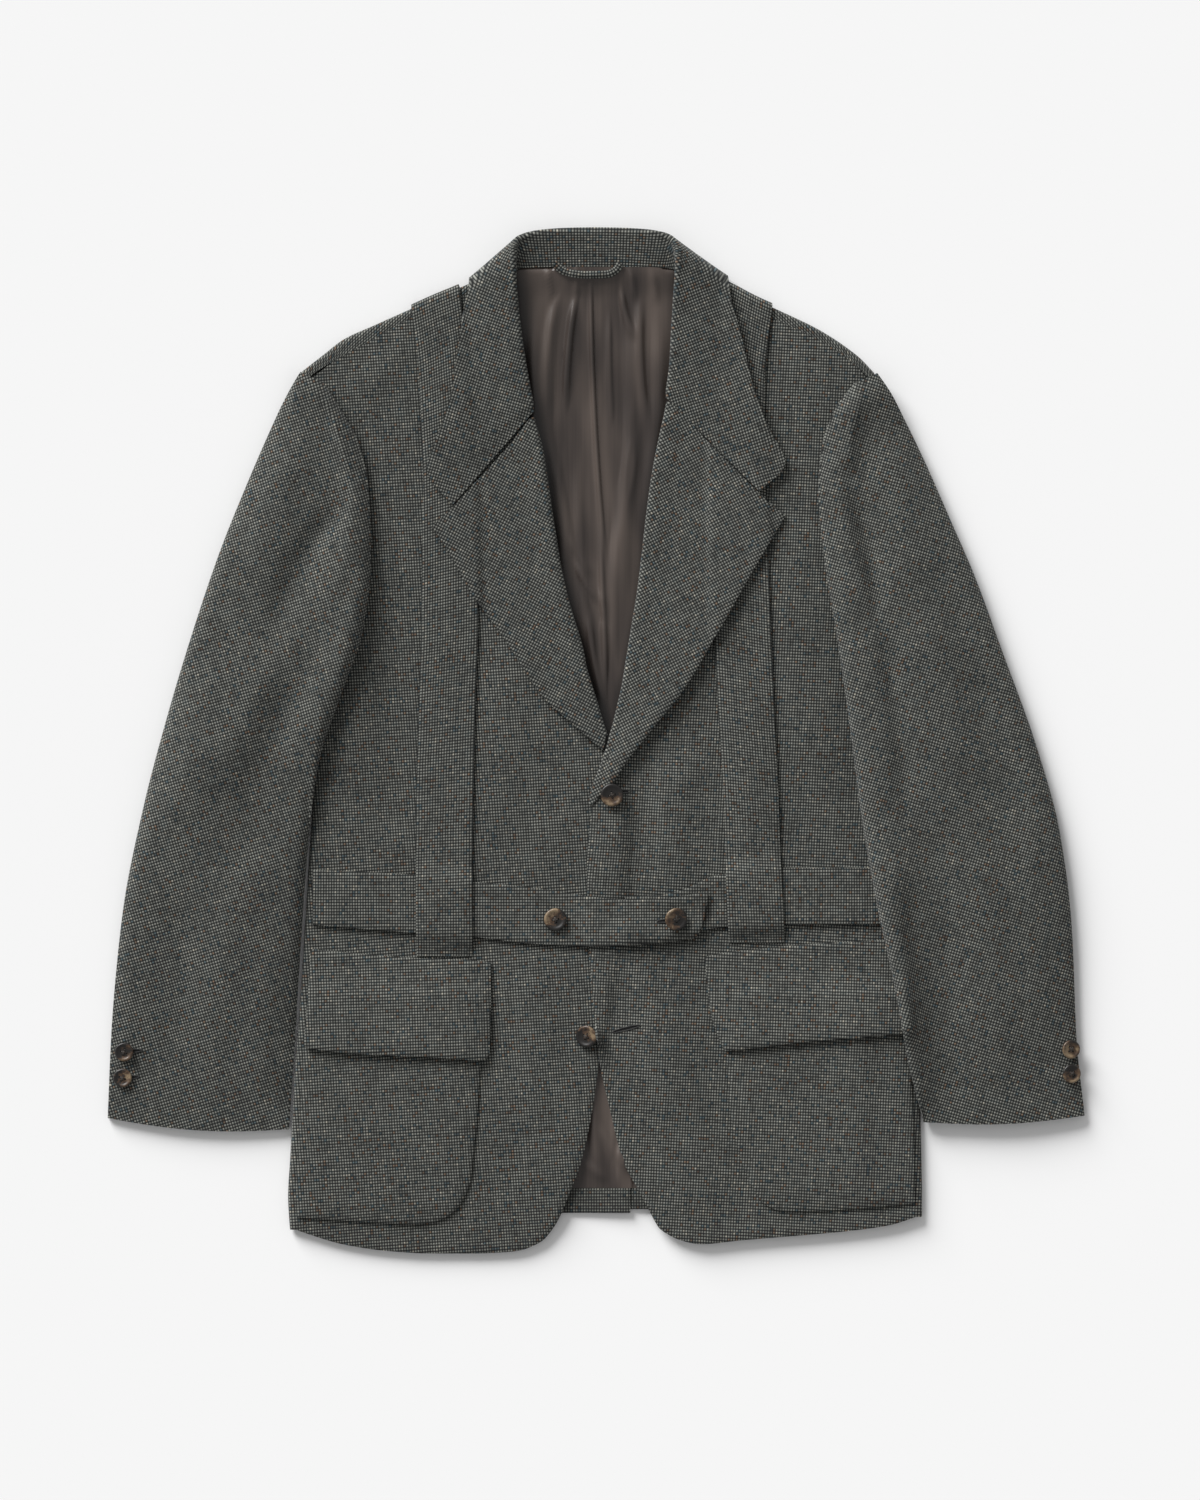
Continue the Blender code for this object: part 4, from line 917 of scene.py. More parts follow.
flapShape = {
    "wall": 2.8, "grain": {"right": 2.0, "left": -2.0}, "liftLow": 1.6,
    "line": {
        "right": {"top": Table("x y", (-238, -167.2), (-143, -175.4), (-99.6, -177), (-83, -179)),
                  "low": Table("x y", (-240, -244), (-211, -249), (-171, -252), (-130, -253.6),
                               (-91, -256), (-86, -254)),
                  "inner": Table("y x", (-256, -86.5), (-249, -85.2), (-214, -84.4), (-179, -83.8))},
        "left": {"top": Table("x y", (87, -174.4), (107, -170.5), (133, -168), (149, -166),
                              (234, -160.8), (252, -160)),
                 "low": Table("x y", (103.6, -248.8), (138, -244.8), (180, -240), (213, -237.6),
                              (252, -234)),
                 "inner": Table("y x", (-249, 103.6), (-235, 97.5), (-216.8, 92.4), (-174, 87.6))},
    },
}


def makeFlap(side, under):
    shape, sign = flapShape, signOf[side]
    line = shape["line"][side]
    plan = panelPlan(lambda y: line["inner"]("x", y),
                     lambda y: bodyLines("side" + side.title(), y) - sign * pocketShape["side"],
                     lambda x: line["low"]("y", x), lambda x: line["top"]("y", x),
                     spread(60, 0.3), spread(34, 0.3))
    heights = closet.lay(plan, under, shape["wall"], passes=70)
    grid = raised(plan, heights)
    left, right, low, high = edgeLengths(grid)
    free = ease(1 - low / 40)
    grid[:, :, 2] += shape["liftLow"] * free * ease((left + 6) / 30)
    grid = drooped(grid, ("left", "right", "low", "high"), 0.7, 3.0)
    return shell("flap_" + side, grid, grainUv(grid, shape["grain"][side]), tweed, shape["wall"])


lapelShape = {
    "wall": 2.6, "crest": 2.2, "crestWidth": 30.0, "roll": 2.2, "clearance": 2.2,
    "lowest": 9.5,                # of the middle of its wall, where nothing under it is higher
    "pieceGap": 0.8,              # least gap between its two layers at the roll
    "under": 0.6, "underRate": 30.0, "standOff": {"right": 0.0, "left": 5.0},
    "columns": 46, "rows": 120, "grain": {"right": -27.5, "left": 27.5},
    "line": {
        "right": {"late": 0.85, "rollShare": 0.15,
                  "roll": ((9.6, 3), (-10, 66.4), (-22.8, 111.2), (-33.2, 172.8), (-42.6, 233.6),
                           (-49.5, 257)),
                  "outer": ((6, -8.5), (-7, 2.6), (-19.9, 13.9), (-42, 34.2), (-70.4, 77.4), (-102, 121.6),
                            (-115.6, 147.2), (-130.4, 170)),
                  "gorge": ((-49.5, 257), (-57, 247.6), (-78.8, 222.6), (-115.6, 183.4), (-130.4, 170))},
        "left": {"late": 0.0, "rollShare": 0.22,
                 "roll": ((-1, -43.5), (6, -18.4), (14.8, 15.2), (26.8, 71.2), (34.4, 125.6),
                          (44.4, 207.2), (57.2, 270.5)),
                 "outer": ((15.2, -33), (22.4, -21), (45, 8.2), (68.7, 37.6), (97.2, 84.8),
                           (126.5, 136.3), (151.6, 178.6)),
                 "gorge": ((57.2, 269.3), (79.4, 247.8), (110.8, 213), (130.8, 194.4), (151.6, 178.6))},
    },
    "folds": {"right": [(-60, 200, -30, 90, 4, 18, 0.5)], "left": [(70, 190, 50, 60, -4, 20, 0.8)]},
    # the left lapel runs on to a thin point beside the top button
    "point": {"left": {"roll": (-3.8, -52.0), "outer": (-0.4, -50.0), "wall": 0.7, "pressed": 26.0}},
}


def makeLapel(side, under):
    # the lapel lies on the front and rolls round its edge to meet it again below
    shape, sign = lapelShape, signOf[side]
    line, point = dict(shape["line"][side]), shape["point"].get(side)
    if point:
        line.update({part: (point[part],) + line[part] for part in ("roll", "outer")})
    straight, outer, gorge = (route(line[part]) for part in ("roll", "outer", "gorge"))

    def roll(v):
        # lags behind the outer edge at the low end, where the other lapel cuts across
        return straight(v - line["late"] * v * (1 - v) ** 8)

    columns, rows = spread(shape["columns"], 0.0), spread(shape["rows"], 0.1)
    plan = np.array([[mix(roll(v), outer(v), u) for u in columns] for v in rows])
    plan[-1] = [gorge(u) for u in columns]
    width = np.linalg.norm(plan[:, -1] - plan[:, 0], axis=1)
    away = []
    for v in rows:
        tangent = roll(min(v + 0.02, 1)) - roll(max(v - 0.02, 0))
        away.append(sign * np.array((tangent[1], -tangent[0])) / np.linalg.norm(tangent))
    square = np.sum((plan[:, -1] - plan[:, 0]) * away, axis=1)
    reach = np.minimum(shape["roll"], abs(square) * line["rollShare"])
    for i in range(len(rows)):
        for j, u in enumerate(columns):
            plan[i, j] += away[i] * (1 + reach[i]) * (1 - u) ** 3
    x, y = plan[:, :, 0], plan[:, :, 1]
    wall = np.full((len(rows), 1), shape["wall"])
    if point:
        wall = mix(point["wall"], wall, ease((y[:, -1:] - y[0, -1]) / point["pressed"]))
    laid = np.maximum(closet.lay(plan, under, wall, passes=10),
                      shape["lowest"] - shape["wall"] / 2 + wall / 2)
    laid += np.maximum(crease(x, y, shape["folds"][side]), 0)
    u = np.array(columns)
    near = np.maximum(0.0, 1 - u[None, :] * width[:, None] / shape["crestWidth"])
    lift = ease(u)[None, :] * (np.sin(math.pi * np.minimum(np.array(rows) * 1.08, 1)) ** 0.7)[:, None]
    level = laid + shape["crest"] * ease(width / 40)[:, None] * ease(near)
    level += shape["standOff"][side] * lift
    lows, starts, widths = [], [], []
    for i, v in enumerate(rows):
        start, underWidth = plan[i, 0].copy(), 0.0
        for _ in range(4):
            met = bodyLines("edge" + side.title(), start[1] + away[i][1] * underWidth)
            underWidth = (met - start[0]) / away[i][0]
        lack = max(0.0, shape["clearance"] + shape["under"] - underWidth)
        start -= away[i] * lack
        underWidth += lack - shape["clearance"]
        starts.append(start)
        widths.append(min(underWidth, shape["under"] + shape["underRate"] * v))
        edgeX = bodyLines("edge" + side.title(), start[1])
        lows.append(closet.hit(edgeX + sign * 4, start[1], ("front_" + side,))[0] - 1)
    smoothLow = np.convolve(np.pad(lows, 6, mode="edge"), np.ones(13) / 13, mode="valid")
    level = np.maximum(level, smoothLow[:, None] + wall + shape["pieceGap"])
    level = drooped(raised(plan, level), ("right",), 0.6, 2.6)[:, :, 2]
    grid = []
    for i in range(len(rows)):
        low, start = smoothLow[i], starts[i]
        middle, half = (level[i, 0] + low) / 2, (level[i, 0] - low) / 2
        points = [(*(start + away[i] * widths[i] * t), low) for t in (1.0, 0.5)]
        for angle in range(-90, 61, 15):
            turn = math.radians(angle)
            points.append((*(start - away[i] * reach[i] * math.cos(turn)), middle + half * math.sin(turn)))
        points += [(*p, z) for p, z in zip(plan[i], level[i])]
        grid.append(points)
    grid = np.array(grid, float)
    return shell("lapel_" + side, grid, grainUv(grid, shape["grain"][side], 30), tweed, wall)


collarShape = {
    "wall": 2.6, "roll": 2.0, "steps": 8, "laidStations": 7, "edgeLift": {"right": 0.4, "left": 2.6},
    "tuck": {"right": 5.0, "left": 0.0}, "grainShare": 0.73,
    "endWall": 0.9, "pressed": 8.0,       # its two ends are pressed flat at the seam to the lapels
    "falls": (0.04, 0.09, 0.14, 0.2, 0.28, 0.36, 0.44, 0.52, 0.6, 0.68, 0.76, 0.84, 0.9, 0.94, 0.97, 1.0),
    "line": {
        "right": Table(
            "at seamX seamY seamZ rollX rollY rollZ edgeX edgeY edgeZ lean drop",
            (0, -53.2, 259, 7.0, -49.5, 261.5, 10.6, -114.4, 186.5, 10, 0, 1),
            (1, -54.4, 266, 7.0, -51, 270, 11, -134.8, 215, 10, 0, 1),
            (2, -58.6, 284, 7.0, -55, 291, 12, -127, 240, 10.5, 0, 1),
            (3, -63.8, 311, 7.2, -59.5, 320, 14, -115.6, 274, 11, 5, 1),
            (4, -68.4, 336, 8, -62.5, 345, 16, -110, 311, 11.5, 15, 1),
            (5, -71.4, 354, 9.5, -64.5, 368, 19, -105.5, 340, 12, 35, 1),
            (6, -71, 365, 10, -65, 384, 21, -104.5, 353.5, 12.4, 60, 1),
            (7, -69, 370, 10, -65, 391, 21, -105.5, 361.8, 11.4, 75, 1.1),
            (8, -66, 373.5, 9.6, -63.5, 396.5, 19.5, -105, 368, 5.5, 90, 1.4),
            (9, -58, 376.4, 9.2, -57, 401.5, 16, -98, 366, 1.0, 125, 3.6),
            (10, -42, 377.2, 8.8, -43, 405.3, 13, -70, 364, 1.0, 155, 5),
            (11, -21, 377.4, 8.6, -22, 407, 11, -35, 362, 1.0, 172, 6),
            (12, 0, 377.4, 8.6, 0, 407.5, 10.4, 0, 361, 1.0, 180, 6)),
        "left": Table(
            "at seamX seamY seamZ rollX rollY rollZ edgeX edgeY edgeZ lean drop",
            (0, 60.4, 270, 7.0, 56.6, 272.5, 10.6, 130.8, 197.6, 10, 0, 1),
            (1, 61.4, 275, 7.0, 57.6, 280, 11, 151.4, 220.6, 11, 0, 1),
            (2, 64.4, 291, 7.0, 60, 298, 12, 138, 249, 11, 0, 1),
            (3, 68.0, 316, 7.2, 61.5, 325, 14, 124.6, 286, 11.5, 5, 1),
            (4, 70, 338, 8, 62.8, 347, 16, 115.6, 325, 12, 15, 1),
            (5, 72.6, 354, 9.5, 64.5, 368, 19, 108.5, 349, 12.4, 35, 1),
            (6, 72, 365, 10, 65.5, 382, 21, 107, 357.5, 12.4, 60, 1),
            (7, 69.5, 370.5, 10, 65.5, 389, 21, 106, 364, 11.4, 75, 1.1),
            (8, 66, 373.5, 9.6, 63, 396, 19.5, 104.8, 369.6, 5.5, 90, 1.4),
            (9, 58, 376.4, 9.2, 57, 401.5, 16, 98, 367.5, 1.0, 125, 3.6),
            (10, 42, 377.2, 8.8, 43, 405.3, 13, 70, 364, 1.0, 155, 5),
            (11, 21, 377.4, 8.6, 22, 407, 11, 35, 362, 1.0, 172, 6),
            (12, 0, 377.4, 8.6, 0, 407.5, 10.4, 0, 361, 1.0, 180, 6)),
    },
}


def collarSection(table, at, tuck=0.0):
    # points across the collar at one station: stand, rounded roll, fall
    def point(part):
        return np.array([table(part + axis, at) for axis in "XYZ"])
    shape = collarShape
    seam, roll, edge = point("seam"), point("roll"), point("edge")
    edge[0] += tuck * ease((at - 5) / 2) * ease((10 - at) / 2)
    lean, drop = math.radians(table("lean", at)), table("drop", at)
    inward = np.array((seam[0] - edge[0], seam[1] - edge[1], 0.0))
    if np.linalg.norm(inward[:2]) < 30:
        inward = np.array((0.0, -1.0, 0.0)) * np.linalg.norm(inward[:2])
    inward /= np.linalg.norm(inward)
    if lean > math.pi / 2:
        towards = np.array((0.0, -1.0, 0.0))
        inward = mix(inward * (1 if inward[1] < 0 else 0), towards, ease((lean - math.pi / 2) * 2))
        inward /= np.linalg.norm(inward)
    up = np.array((0.0, 0.0, 1.0))
    apex = math.cos(lean) * inward + math.sin(lean) * up
    across = math.cos(lean) * up - math.sin(lean) * inward
    centre = roll - apex * shape["roll"]
    bend = [centre + shape["roll"] * (math.cos(a) * apex + math.sin(a) * across)
            for a in np.linspace(-math.pi / 2, math.pi / 2, 9)]
    stand = [mix(seam, bend[0], t) for t in (0, 0.12, 0.3, 0.5, 0.7, 0.88)]
    fall = []
    for w in shape["falls"]:
        spot = mix(bend[-1], edge, w)
        spot[2] = edge[2] + (bend[-1][2] - edge[2]) * (1 - w) ** drop
        fall.append(spot)
    return stand + bend + fall


def collarUv(grid):
    # the cloth's own coordinates: its grain turns with the collar as it goes round the neck
    plan, crest = grid[:, :, :2], 10
    roll = plan[:, crest]
    middle = mix(roll, plan[:, -1], 0.45)
    ahead = np.gradient(np.pad(roll, ((6, 6), (0, 0)), mode="edge"), axis=0)
    ahead = np.array([ahead[k:k + 13].mean(axis=0) for k in range(len(roll))])
    lean = np.unwrap(np.arctan2(ahead[:, 0], ahead[:, 1]))
    turn = math.pi / 2 + collarShape["grainShare"] * (lean - lean.mean())
    cos, sin = np.cos(turn)[:, None], np.sin(turn)[:, None]
    step = np.diff(middle, axis=0)
    x, y = middle[:, :1] * 0, middle[:, :1] * 0
    x[1:, 0] = np.cumsum(step[:, 0] * cos[1:, 0] - step[:, 1] * sin[1:, 0])
    y[1:, 0] = np.cumsum(step[:, 0] * sin[1:, 0] + step[:, 1] * cos[1:, 0])
    aside = plan - middle[:, None]
    u = x + aside[:, :, 0] * cos - aside[:, :, 1] * sin
    v = y + aside[:, :, 0] * sin + aside[:, :, 1] * cos
    return np.dstack([u, v]) * mm


def makeCollar(under):
    shape = collarShape
    steps, laidRows = shape["steps"], shape["laidStations"] * shape["steps"]
    halves = []
    for side in ("right", "left"):
        grid = np.array([collarSection(shape["line"][side], k / steps, shape["tuck"][side])
                         for k in range(int(shape["line"][side].rows[-1, 0]) * steps + 1)])
        over = laidRows + 1
        fall = grid[:over, 15:]
        wall = mix(shape["endWall"], shape["wall"], ease(np.arange(len(grid))[:, None] / shape["pressed"]))
        fall[:, :, 2] -= (shape["wall"] - wall[:over]) / 2
        laid = closet.lay(fall[:, :, :2].copy(), under, wall[:over], passes=8)
        fade = ease((laidRows - np.arange(over)) / steps)[:, None]
        edgeLift = shape["edgeLift"][side] * ease(np.linspace(0, 1, fall.shape[1]) * 1.6 - 0.6)[None, :]
        fall[:, :, 2] = mix(fall[:, :, 2], np.maximum(fall[:, :, 2], laid + edgeLift), fade)
        halves.append(grid)
    right, left = halves
    grid = np.concatenate([right, left[-2::-1]])
    wall = np.concatenate([wall, wall[-2::-1]])
    return shell("collar", grid, collarUv(grid), tweed, wall)


loopShape = {
    "width": 5.4, "wall": 1.6, "crown": 0.9, "rows": 60, "columns": 9,
    "line": Table("at x y", (0, -33, 379.5), (1, -24, 373.0), (2, -8, 370.6), (3, 8, 370.9),
                  (4, 16.5, 374.4), (5, 20, 379.5)),
}


def makeLoop(under):
    shape = loopShape
    line, last = shape["line"], shape["line"].rows[-1, 0]
    aside = np.linspace(-shape["width"] / 2, shape["width"] / 2, shape["columns"])
    rows = []
    for k in range(shape["rows"] + 1):
        at = last * k / shape["rows"]
        ahead = np.array([line(a, min(at + 0.2, last)) - line(a, max(at - 0.2, 0)) for a in "xy"])
        across = np.array((-ahead[1], ahead[0])) / np.linalg.norm(ahead)
        rows.append([(line("x", at) + across[0] * s, line("y", at) + across[1] * s) for s in aside])
    plan = np.array(rows)
    heights = soften(closet.lay(plan, under, shape["wall"], passes=6), 4)
    heights += shape["crown"] * np.sin(np.linspace(0, math.pi, shape["columns"]))[None, :]
    grid = raised(plan, heights)
    return shell("hanger_loop", grid, arcUv(grid), tweed, shape["wall"])


# The sleeves, each an upper and an under shell joined along its two folds

sleeveShape = {
    "wall": 2.0, "fold": 11.0, "seamRise": 1.4, "cuffBow": 4.0, "rows": 150, "columns": 26,
    # distances from a fold at which its rows have points, in mm, closest where it turns
    "near": (0.0, 0.0, 0.5, 1.2, 2.2, 3.6, 5.4, 7.8, 10.8, 14.5),
    "cuffFlat": {"right": 0.45, "left": 0.8}, "cuffCorner": {"right": 5.0, "left": 0.0},
    "grain": {"right": 17.0, "left": -17.0}, "foldDepth": 1.6,
    "line": {
        "right": Table(
            "at outerX outerY innerX innerY riseIn riseMid riseOut",
            (0, -390, -303, -245, -317, 9, 11, 8),
            (1, -387, -235, -240.8, -250, 11, 14, 10),
            (2, -378, -140, -235.8, -170, 13, 16, 12),
            (3, -362, -58, -230, -90, 14, 17, 13),
            (4, -343, 15, -221, -20, 14, 17, 13),
            (5, -322, 85, -203, 35, 13, 17, 13),
            (6, -300, 150, -186, 85, 12, 17, 13),
            (7, -280, 200, -179.3, 140, 9, 16, 12),
            (8, -262, 242, -181, 195, 6, 14, 11),
            (9, -249, 270, -188, 232, 5, 12, 10),
            (10, -240, 286, -201, 258, 5.4, 10, 8),
            (11, -235.5, 293, -217, 284, 5.8, 8, 7)),
        "left": Table(
            "at outerX outerY innerX innerY riseIn riseMid riseOut",
            (0, 391, -301, 262, -306, 9, 11, 8),
            (1, 384.5, -240, 249, -255, 11, 14, 10),
            (2, 380.5, -150, 238, -195, 13, 16, 12),
            (3, 371, -75, 224, -130, 14, 17, 13),
            (4, 352, -5, 212, -60, 14, 17, 13),
            (5, 325, 70, 203, 10, 13, 17, 13),
            (6, 303, 130, 193, 80, 12, 17, 13),
            (7, 284, 174, 182.5, 145, 9, 16, 12),
            (8, 262, 224, 178, 198, 6, 14, 11),
            (9, 248, 253, 181, 234, 5, 12, 10),
            (10, 236, 276, 191, 262, 5.4, 10, 8),
            (11, 225, 292, 206, 283, 5.8, 8, 7)),
    },
    "folds": {
        "right": [
            (-200, 190, -262, 60, 10, 12, -2.6), (-185, 150, -225, 20, 6, 14, -2.0),
            (-240, 240, -262, 130, 6, 22, 2.2), (-250, 90, -320, -40, -10, 22, 2.4),
            (-235, 60, -280, -120, 8, 20, -1.8), (-300, 60, -345, -80, 6, 24, 2.0),
            (-270, -90, -300, -240, 6, 22, 1.8), (-330, -120, -345, -270, -5, 20, -1.6),
            (-255, -150, -262, -290, 4, 16, 1.6), (-215, 60, -250, -40, 0, 12, 1.4),
        ],
        "left": [
            (206, 190, 222, 90, -5, 9, -3.4), (222, 90, 246, -60, -6, 11, -3.0),
            (244, -120, 262, -250, -4, 12, -2.6), (232, 240, 250, 110, -8, 20, 2.4),
            (262, 110, 300, -40, 10, 24, 2.6), (240, 30, 300, -80, 6, 18, 1.6),
            (290, 60, 340, -60, -8, 18, -1.8), (300, -90, 320, -260, -6, 24, 2.2),
            (350, -60, 362, -240, 5, 18, 1.6), (275, -150, 290, -300, 4, 16, -1.4),
        ],
    },
}


def makeSleeve(side, under):
    shape = sleeveShape
    table = shape["line"][side]
    count, last = shape["rows"], table.rows[-1, 0]
    stations = [last * k / count for k in range(count + 1)]
    shares = []
    plan = []
    for at in stations:
        inner = np.array((table("innerX", at), table("innerY", at)))
        outer = np.array((table("outerX", at), table("outerY", at)))
        along = (outer - inner) / np.linalg.norm(outer - inner)
        inner, outer = inner + along, outer - along
        width = np.linalg.norm(outer - inner)
        shrink = min(1.0, 0.4 * width / shape["near"][-1])      # keeps both folds' points apart
        near = [d * shrink / width for d in shape["near"]]
        middle = list(np.linspace(near[-1], 1 - near[-1], shape["columns"])[1:-1])
        share = near + middle + [1 - s for s in near[::-1]]
        shares.append(share)
        bow = [shape["cuffBow"] * math.sin(math.pi * s) * max(0.0, 1 - at) for s in share]
        lifted = shape["cuffCorner"][side] * max(0.0, 1 - at)
        plan.append([mix(inner, outer, s) - (0, b - lifted * (1 - s) ** 2) for s, b in zip(share, bow)])
    plan, shares = np.array(plan), np.array(shares)
    x, y = plan[:, :, 0], plan[:, :, 1]
    low = closet.lay(plan, under, shape["wall"], 0.5)
    low = np.where(low < shape["wall"] / 2 + 0.6, shape["wall"] / 2, low)
    base = soften(low, 60)
    at = np.array(stations)[:, None]
    base = mix(base, base.max(axis=1, keepdims=True), ease((at - 8.3) / 2.4))
    low = mix(low, base, ease((at - 8) / 2))
    low = soften(low, 4)
    width = np.linalg.norm(plan[:, -1] - plan[:, 0], axis=1)[:, None]
    rises = [np.array([table(part, s) for s in stations])[:, None]
             for part in ("riseIn", "riseMid", "riseOut")]
    swell = np.sin(math.pi * shares)
    rise = np.where(shares < 0.5, mix(rises[0], rises[1], swell), mix(rises[2], rises[1], swell))
    rise *= mix(shape["cuffFlat"][side], 1.0, ease(at / 3))
    fold = np.minimum(shape["fold"], width * 0.3)
    distance = np.minimum(shares, 1 - shares) * width
    bend = np.sqrt(np.maximum(0.0, 1 - np.maximum(0.0, 1 - distance / fold) ** 2))
    centre = (low + base + rise) / 2
    creased = shape["foldDepth"] * crease(x, y, shape["folds"][side]) * ease(distance / 26) * ease(at / 0.7)
    top = base + rise + creased
    step = np.full_like(centre, shape["seamRise"])
    step[:, 0] = step[:, -1] = 0.15
    underGrid = raised(plan, np.minimum(centre - step, mix(centre, low, bend)))
    topGrid = raised(plan, np.maximum(centre + step, mix(centre, top, bend)))
    return [shell("sleeve_" + part + "_" + side, grid, grainUv(grid, shape["grain"][side]), tweedSleeve,
                  shape["wall"]) for part, grid in (("under", underGrid), ("top", topGrid))]


# Buttons, buttonholes and sewing

buttonShape = {
    "height": 3.4, "segments": 64, "rest": 0.4, "highest": 2.2, "holeRadius": 0.95, "holeRing": 2.1,
    "contrast": 0.30, "thread": 0.32, "shank": 1.6, "roughSegments": 24,
    "profile": ((0.0, 0.72), (0.30, 0.72), (0.52, 0.73), (0.62, 0.78), (0.70, 0.88), (0.78, 0.97),
                (0.85, 1.0), (0.93, 0.95), (0.985, 0.80), (1.0, 0.60), (0.96, 0.36), (0.84, 0.10),
                (0.70, 0.0), (0.0, 0.0)),
    # x y diameter, the lean of its face, where its light side is, and how light it is
    "spots": {
        "button_front_top": (13.0, -44.6, 18.4, (0.0, 0.0), 215, 0.34),
        "button_belt_right": (-32.1, -144.2, 18.0, (0.0, 0.0), -20, 0.44),
        "button_belt_left": (63.8, -143.2, 18.0, (0.12, -0.16), 110, 0.40),
        "button_front_lower": (-5.6, -237.0, 17.6, (-0.42, -0.12), 120, 0.42),
        "button_cuff_right_upper": (-376.4, -249.9, 15.0, (0.0, 0.0), 30, 0.34),
        "button_cuff_right_lower": (-377.6, -270.7, 15.0, (0.0, 0.0), 90, 0.40),
        "button_cuff_left_upper": (379.0, -247.7, 15.0, (0.0, 0.0), 150, 0.60),
        "button_cuff_left_lower": (379.6, -267.2, 15.0, (0.0, 0.0), 200, 0.50),
    },
}


def buttonBlank(diameter):
    # a turned button with a dished face and four holes, its foot at the origin
    shape = buttonShape
    radius, count = diameter / 2, shape["segments"]
    rings = shape["profile"][1:-1]
    body = bmesh.new()
    loops = []
    for r, h in rings:
        loops.append([body.verts.new((r * radius * math.cos(2 * math.pi * k / count),
                                      r * radius * math.sin(2 * math.pi * k / count),
                                      h * shape["height"])) for k in range(count)])
    for lower, upper in zip(loops, loops[1:]):
        for k in range(count):
            n = (k + 1) % count
            body.faces.new((lower[k], upper[k], upper[n], lower[n]))
    body.faces.new(loops[0])
    body.faces.new(loops[-1][::-1])
    bmesh.ops.recalc_face_normals(body, faces=body.faces)
    mesh = bpy.data.meshes.new("button_blank")
    body.to_mesh(mesh)
    body.free()
    blank = bpy.data.objects.new("button_blank", mesh)
    drill = bmesh.new()
    for k in range(4):
        angle = math.pi / 4 + k * math.pi / 2
        spot = Matrix.Translation((shape["holeRing"] * math.cos(angle), shape["holeRing"] * math.sin(angle),
                                   shape["height"] / 2))
        bmesh.ops.create_cone(drill, cap_ends=True, segments=20, radius1=shape["holeRadius"],
                              radius2=shape["holeRadius"], depth=shape["height"] * 2, matrix=spot)
    drillMesh = bpy.data.meshes.new("button_drill")
    drill.to_mesh(drillMesh)
    drill.free()
    cutter = bpy.data.objects.new("button_drill", drillMesh)
    for thing in (blank, cutter):
        bpy.context.scene.collection.objects.link(thing)
    cut = blank.modifiers.new("holes", "BOOLEAN")
    cut.operation, cut.solver, cut.object = "DIFFERENCE", "EXACT", cutter
    result = bpy.data.meshes.new_from_object(blank.evaluated_get(bpy.context.evaluated_depsgraph_get()))
    for thing in (blank, cutter):
        bpy.data.objects.remove(thing, do_unlink=True)
    return result


def tube(points, radius, sides=8):
    # vertices and faces of a round thread through a few points
    points = [Vector(p) for p in points]
    vertices, faces = [], []
    for k, p in enumerate(points):
        ahead = (points[min(k + 1, len(points) - 1)] - points[max(k - 1, 0)]).normalized()
        side = ahead.orthogonal().normalized()
        other = ahead.cross(side)
        for s in range(sides):
            turn = 2 * math.pi * s / sides
            vertices.append(p + radius * (math.cos(turn) * side + math.sin(turn) * other))
    for k in range(len(points) - 1):
        for s in range(sides):
            n = (s + 1) % sides
            faces.append((k * sides + s, k * sides + n, (k + 1) * sides + n, (k + 1) * sides + s))
    faces.append(tuple(range(sides))[::-1])
    faces.append(tuple((len(points) - 1) * sides + s for s in range(sides)))
    return vertices, faces


